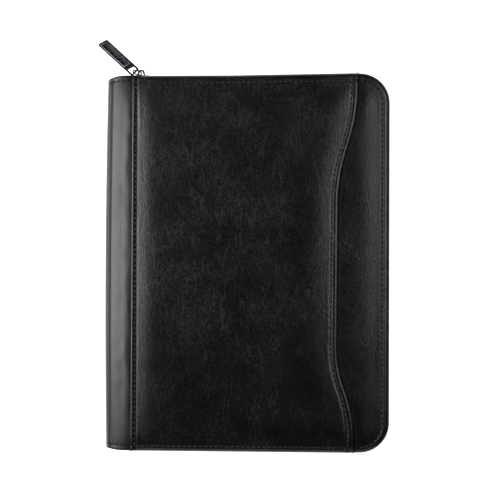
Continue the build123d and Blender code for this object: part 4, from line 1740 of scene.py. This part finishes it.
@dataclass
class Puller:
    """The zip puller: its solids, with a raised rim and a dished inlay on the tab's face.

    Attributes are in mm and degrees. The tab has its own frame: u along it from its pin, v across it
    and w out of its face:
        start, stop, half_width: u at the sunk panel's ends, and half the panel's width.
        slant: How far the panel's ends are turned from square.
        face, floor: w of the tab's face and of the sunk panel.
        rim_half: Half the rim's width.
    """

    finishes: Finishes
    pin: tuple[float, float, float] = (-101.2629, 169.8298, 15.0)
    direction: float = 42.5
    droop: float = 17.5
    slant: float = 21.0
    start: float = 10.3
    stop: float = 42.8
    half_width: float = 3.0
    face: float = 0.9
    floor: float = 0.65
    rim_half: float = 0.4

    @property
    def skew(self) -> float:
        """How much u grows with v along a slanted end."""
        return math.tan(math.radians(self.slant))

    def lay(self, points: Array) -> Array:
        """Brings points from the tab's frame to the case's.

        Args:
            points: Rows of u, v and w.

        Returns:
            Rows of x, y and z.
        """
        turn, down = math.radians(self.direction), math.radians(self.droop)
        ahead = np.array([-math.cos(turn), math.sin(turn), 0.0])
        along = ahead * math.cos(down) - np.array([0.0, 0.0, math.sin(down)])
        out = ahead * math.sin(down) + np.array([0.0, 0.0, math.cos(down)])
        return points @ np.stack([along, np.cross(out, along), out]) + np.array(self.pin)

    def rim(self) -> None:
        """Raises a rounded rim round the tab's sunk panel."""
        clear_selection()
        bpy.ops.mesh.primitive_plane_add(size=2.0)
        piece = bpy.context.object
        piece.name = piece.data.name = "pull_tab_rim"
        half, reach = self.half_width + self.rim_half, (self.stop - self.start) / 2 + self.rim_half
        middle = (self.start + self.stop) / 2
        for vertex in piece.data.vertices:
            v = vertex.co.y * half
            vertex.co = (middle + vertex.co.x * reach + v * self.skew, v, self.face + 0.26)
        with edit_mode():
            bpy.ops.mesh.bevel(offset=0.9, segments=4, affect="VERTICES")
            bpy.ops.mesh.inset(thickness=0.75)
            bpy.ops.mesh.delete(type="FACE")
        apply_modifier(piece, "SOLIDIFY", thickness=0.32, offset=-1.0, use_even_offset=True)
        apply_modifier(piece, "BEVEL", width=0.22, segments=3, limit_method="ANGLE")
        points = get_points(piece)
        # Painted light and shade: one side of the rim is painted brighter and the other darker.
        set_points(piece, self.lay(points), {"rubbed": points[:, 1] * 0.07})
        smooth(piece, 50.0)
        dress(piece, self.finishes.rim, "pull_metal", Body.TAB)

    def inlay(self) -> None:
        """Lays a thin dished plate in the tab's sunk panel."""

        def place(i: Array, j: Array) -> Placed:
            """Lays the plate from the pin's end to the tip, higher at its sides.

            Args:
                i, j: Column and row numbers.

            Returns:
                Points in mm and their attributes.
            """
            across = -1 + 2 * j / 14
            v = across * (self.half_width - 0.1)
            u = self.start + 0.2 + i * (self.stop - self.start - 0.4) / 50 + v * self.skew
            w = self.floor + 0.06 + 0.22 * np.abs(across) ** 2.2
            # Painted light and shade: the plate is painted brighter towards one side and darker towards the
            # other.
            return self.lay(columns_of(u, v, w)), {"rubbed": -0.04 - 0.14 * across}

        piece = add_sheet("pull_tab_inlay", 51, 15, place)
        thicken(piece, 0.05)
        dress(piece, self.finishes.inlay, "pull_metal", Body.TAB)

    def build(self) -> None:
        """Builds and dresses the puller."""
        coat(self.finishes.slider, "zip_slider_body")
        coat(self.finishes.wire, "zip_slider_bail", "pull_link_ring")
        coat(self.finishes.pull, "zip_pull_tab")
        self.rim()
        self.inlay()


@dataclass(frozen=True)
class Pocket:
    """A leather pocket panel, sewn down on three sides, with a turned edge along its mouth at the top, in mm.

    Attributes:
        node: The solid that it stands for.
        level: z of its outside.
        rise: How far its outside stands over what it is sewn to.
        face: FRONT where it lies on the upper cover and looks down, BACK where it looks up.
        full_rise: The rise that the edges' sections are drawn for.
        seam, mouth_seam: Each seam's distance from its edge.
    """

    node: str
    left: float
    right: float
    bottom: float
    top: float
    level: float
    rise: float
    face: Face
    full_rise: float = 1.7
    seam: float = 0.8
    mouth_seam: float = 3.2

    @property
    def share(self) -> float:
        """How much of the edges' sections this pocket has."""
        return self.rise / self.full_rise

    @property
    def out(self) -> int:
        """The way along Z that the pocket looks."""
        return -self.face.value

    def panel(self, finishes: Finishes) -> None:
        """Lays out the panel.

        Args:
            finishes: The case's materials.
        """
        sewn, turned = SEWN_EDGE.rows(), TURNED_EDGE.rows()
        xs, x_drop = edged(sewn, sewn, self.left, self.right, 60)
        ys, y_drop = edged(sewn, turned, self.bottom, self.top, 60)

        def place(i: Array, j: Array) -> Placed:
            """Lays the panel from the left and from the bottom.

            Args:
                i, j: Column and row numbers.

            Returns:
                Points in mm and their attributes.
            """
            x, y = xs[i], ys[j]
            from_left, from_right = x - self.left, self.right - x
            calm = ramp(np.minimum.reduce([from_left, from_right, y - self.bottom]), 3, 15)
            at_seam, at_mouth = j < len(sewn), j >= len(ys) - len(turned)
            fall = np.maximum(x_drop[i], np.where(at_seam, y_drop[j], 0.0))
            fall = fall + np.select([at_seam, at_mouth], [0.0, y_drop[j]], 0.2)
            drop = self.share * fall + 0.12 * calm * (1 + waves(x / 42.0, y / 42.0, self.level))
            off_sides = np.minimum(np.abs(from_left - self.seam), np.abs(from_right - self.seam))
            groove = np.minimum(off_sides, np.abs(self.top - y - self.mouth_seam))
            # The grooves are darkened with painted shade.
            return columns_of(x, y, self.level - self.out * drop), {"sunk": 0.8 * bell(groove, 0.7)}

        panel = add_sheet(f"{self.node}_leather", len(xs), len(ys), place, flip=self.face is Face.FRONT)
        thicken(panel, 0.5 * self.share + 0.1)
        dress(panel, finishes.inner, "inner_leather", self.face.body, self.node)

    def seams(self, finishes: Finishes) -> None:
        """Sews the panel down and sews its turned edge.

        Args:
            finishes: The case's materials.
        """
        low, high = (self.level - self.out * drop * self.share for drop in (1.12, 0.2))
        left, right, bottom = self.left + self.seam, self.right - self.seam, self.bottom + self.seam
        end, mouth = self.top - 1.5, self.top - self.mouth_seam
        down = [(left, end, low), (left, bottom, low), (right, bottom, low), (right, end, low)]
        turned = [(self.left + 3, mouth, high), (self.right - 3, mouth, high)]
        for part, corners in (("seam", down), ("mouth", turned)):
            line = np.array(corners)
            path = read_line(line, np.arange(len(line)), np.linspace(0, len(line) - 1, 400))
            row = sew(f"{self.node}_{part}_stitches", path, (0, 0, self.out), POCKET_STITCH)
            dress(row, finishes.pocket_thread, "inner_leather", self.face.body)

    def build(self, finishes: Finishes) -> None:
        """Builds and dresses the pocket."""
        self.panel(finishes)
        self.seams(finishes)


@dataclass
class Inside:
    """What the open case shows: linings, pockets, pen loop and writing pad.

    Attributes are in mm:
        loop_at: x and z of the pen's middle line.
        rib: Distance between the elastic's ribs.
        page: The first page's left, right, bottom and top.
        page_level: z of the page where it lies flat.
        curl, curl_height: How far in from its corner the page curls, and how high.
    """

    finishes: Finishes
    loop_at: tuple[float, float] = (-104.4, 12.2)
    loop_radius: float = 5.7
    loop_length: float = 25.0
    rib: float = 1.9
    page: tuple[float, float, float, float] = (-97.0, 118.5, -142.5, 122.0)
    page_level: float = 13.07
    curl: float = 62.0
    curl_height: float = 3.4

    def lining(self, face: Face) -> None:
        """Lays the cloth lining of one cover.

        Args:
            face: Which cover.
        """
        level = 24.0 if face is Face.FRONT else 6.0

        def height(x: Array, y: Array) -> Array:
            """Height of the cloth, with faint waves."""
            return level + face.value * 0.1 * (1 + waves(x / 30.0, y / 30.0, level))

        line = ZipOutline(left=-108.0)
        cloth = zip_sheet(f"cover_cloth_{face.side}", line, 9.3, 60, height, flip=face is Face.FRONT)
        thicken(cloth, 0.45, 40.0)
        dress(cloth, self.finishes.lining, "lining", face.body, f"{face.side}_lining")

    def pen_loop(self) -> None:
        """Winds a ribbed elastic band into a loop with two tails sewn to the lining."""
        turn = np.radians(np.linspace(-90.0, -450.0, 52))
        radius = np.linspace(self.loop_radius + 0.5, self.loop_radius, len(turn))
        cx, cz = self.loop_at
        ring = columns_of(cx + radius * np.cos(turn), cz + radius * np.sin(turn))
        tail = np.linspace(5.6, 0.6, 6)
        first, last = columns_of(cx + tail, ring[0, 1]), columns_of(cx + tail[::-1], ring[-1, 1])
        path = np.vstack([first, ring, last])
        ahead = np.gradient(path, axis=0)
        out = unit(columns_of(-ahead[:, 1], ahead[:, 0]))
        rows = np.linspace(-self.loop_length / 2, self.loop_length / 2, 105)

        def place(i: Array, j: Array) -> Placed:
            """Lays the band round the pen, with ribs across its width.

            Args:
                i, j: Column and row numbers.

            Returns:
                Points in mm and their attributes.
            """
            rib = 0.1 * np.cos(2 * math.pi * rows[j] / self.rib)
            x, z = (path[i] - out[i] * rib[:, None]).T
            return columns_of(x, rows[j], z), {}

        band = add_sheet("pen_loop_elastic", len(path), len(rows), place, flip=True)
        thicken(band, 0.45, 40.0)
        dress(band, self.finishes.elastic, "elastic", Body.BACK, "pen_loop")

    def first_page(self) -> None:
        """Lays the pad's first page, with one corner that lifts a little."""
        left, right, bottom, top = self.page

        def place(i: Array, j: Array) -> Placed:
            """Lays the page, curling its lower right corner.

            Args:
                i, j: Column and row numbers.

            Returns:
                Points in mm and their attributes.
            """
            x, y = left + i * (right - left) / 44, bottom + j * (top - bottom) / 54
            lift = self.curl_height * ramp((x - right) + (bottom - y), -self.curl, 0.0) ** 2.2
            return columns_of(x, y, self.page_level + lift), {}

        page = add_sheet("pad_first_page", 45, 55, place)
        thicken(page, 0.1, 40.0)
        dress(page, self.finishes.paper, "paper", Body.PAD)

    def build(self) -> None:
        """Builds and dresses the inside."""
        finishes = self.finishes
        for face in Face:
            self.lining(face)
        for pocket in (
            Pocket("pad_pocket", -99.5, 121.0, -145.0, -30.0, 7.75, 1.7, Face.BACK),
            Pocket("document_pocket", -104.0, 114.0, -145.0, 60.0, 22.25, 1.7, Face.FRONT),
            Pocket("card_pocket_upper", -46.0, 58.0, -95.0, -1.0, 21.45, 0.75, Face.FRONT),
            Pocket("card_pocket_middle", -46.0, 58.0, -95.0, -17.0, 20.65, 0.75, Face.FRONT),
            Pocket("card_pocket_lower", -46.0, 58.0, -95.0, -33.0, 19.85, 0.75, Face.FRONT),
        ):
            pocket.build(finishes)
        self.pen_loop()
        self.first_page()
        coat(finishes.board, "back_board", "front_board")
        coat(finishes.chipboard, "pad_backing_board")
        coat(finishes.paper, "pad_sheets")
        coat(finishes.header, "pad_header_tape")


@dataclass(frozen=True)
class Softbox:
    """A soft rectangular light. Lengths in metres.

    Attributes:
        at: Where it stands.
        aim: What it faces.
        size: Its two sides.
        radiance: Its brightness as the leather sees it.
    """

    name: str
    at: tuple[float, float, float]
    aim: tuple[float, float, float]
    size: tuple[float, float]
    radiance: float

    def build(self) -> None:
        """Sets up the light."""
        light = bpy.data.lights.new(self.name, "AREA")
        light.shape = "RECTANGLE"
        light.size, light.size_y = self.size
        light.energy = self.radiance * math.pi * self.size[0] * self.size[1]
        lamp = bpy.data.objects.new(self.name, light)
        lamp.location = self.at
        lamp.rotation_euler = (Vector(self.aim) - Vector(self.at)).to_track_quat("-Z", "Y").to_euler()
        lamp.visible_camera = False
        bpy.context.collection.objects.link(lamp)


@dataclass
class Studio:
    """The floor, the soft light and the camera. Lengths in metres, angles in degrees.

    Attributes:
        lens: The camera's focal length in mm.
        floor_size, floor_at: The floor's side, and its z, just under the case.
        horizon, zenith: The room's brightness low down and overhead.
    """

    lens: float = 104.651
    camera_at: tuple[float, float, float] = (0.07064, -0.01455, 1.3)
    tilt: tuple[float, float, float] = (1.163, 3.055, 0.178)
    floor_size: float = 24.0
    floor_at: float = -0.0004
    horizon: tuple[float, float, float, float] = (0.8, 0.8, 0.8, 1)
    zenith: tuple[float, float, float, float] = (0.03, 0.03, 0.031, 1)

    def floor(self) -> None:
        """Lays a plain pale floor."""
        clear_selection()
        bpy.ops.mesh.primitive_plane_add(size=self.floor_size, location=(0, 0, self.floor_at))
        floor = bpy.context.object
        floor.name = "floor"
        floor.data.materials.append(Acrylic("pale_acrylic_floor").make())

    def lights(self) -> None:
        """Sets the softboxes and a dim room with a pale horizon."""
        for softbox in (
            Softbox("left_softbox", (-1.12, 0.1, 0.84), (0, 0.1, 0), (0.64, 1.22), 6.8),
            Softbox("right_softbox", (0.69, 0.3, 1.11), (0.02, 0.3, 0), (0.8, 0.6), 3.4),
            Softbox("rear_softbox", (-0.92, 0.95, 1.02), (-0.12, 0.18, 0), (0.5, 0.5), 1.2),
            Softbox("corner_softbox", (-0.44, 0.52, 1.12), (-0.08, 0.14, 0), (0.34, 0.34), 0.7),
            Softbox("front_fill", (0.0, -1.15, 0.85), (0, -0.1, 0), (1.3, 0.4), 1.7),
        ):
            softbox.build()
        world = bpy.data.worlds.new("studio_room")
        world.use_nodes = True
        world.node_tree.nodes.clear()
        node = partial(add_node, world.node_tree)
        way = node("SeparateXYZ", {"Vector": node("TexCoord", {}).outputs["Generated"]})
        band = {"Value": way.outputs["Z"], 1: 0.02, 2: 0.3, 3: 0.0, 4: 1.0}
        rise = node("MapRange", band, interpolation_type="SMOOTHSTEP")
        shade = node("Mix", {0: rise, 6: self.horizon, 7: self.zenith}, data_type="RGBA")
        node("OutputWorld", {"Surface": node("Background", {"Color": shade, "Strength": 1.0})})
        bpy.context.scene.world = world

    def camera(self) -> None:
        """Places the camera nearly straight above the closed case."""
        camera = bpy.data.objects.new("camera", bpy.data.cameras.new("camera"))
        camera.data.sensor_width = 36.0
        camera.data.lens = self.lens
        camera.data.clip_end = 60.0
        camera.location = self.camera_at
        camera.rotation_mode = "ZYX"
        camera.rotation_euler = Euler([math.radians(a) for a in self.tilt], "ZYX")
        bpy.context.collection.objects.link(camera)
        bpy.context.scene.camera = camera

    def build(self) -> None:
        """Sets up the studio."""
        self.floor()
        self.lights()
        self.camera()
        bpy.context.scene.view_settings.view_transform = "Standard"


def note_sizes() -> None:
    """Brings the scene's placements up to date."""
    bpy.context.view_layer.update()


def main() -> None:
    """Builds the case piece by piece and sets up the studio."""
    logging.basicConfig(level=logging.INFO, format="%(name)s %(message)s")
    Studio().build()
    finishes = Finishes()
    for part in (FrontCover, BackCover, Spine, ZipChain, Puller, Inside):
        part(finishes).build()
        LOG.info("%s done", part.__name__)
    note_sizes()


if __name__ == "__main__":
    main()
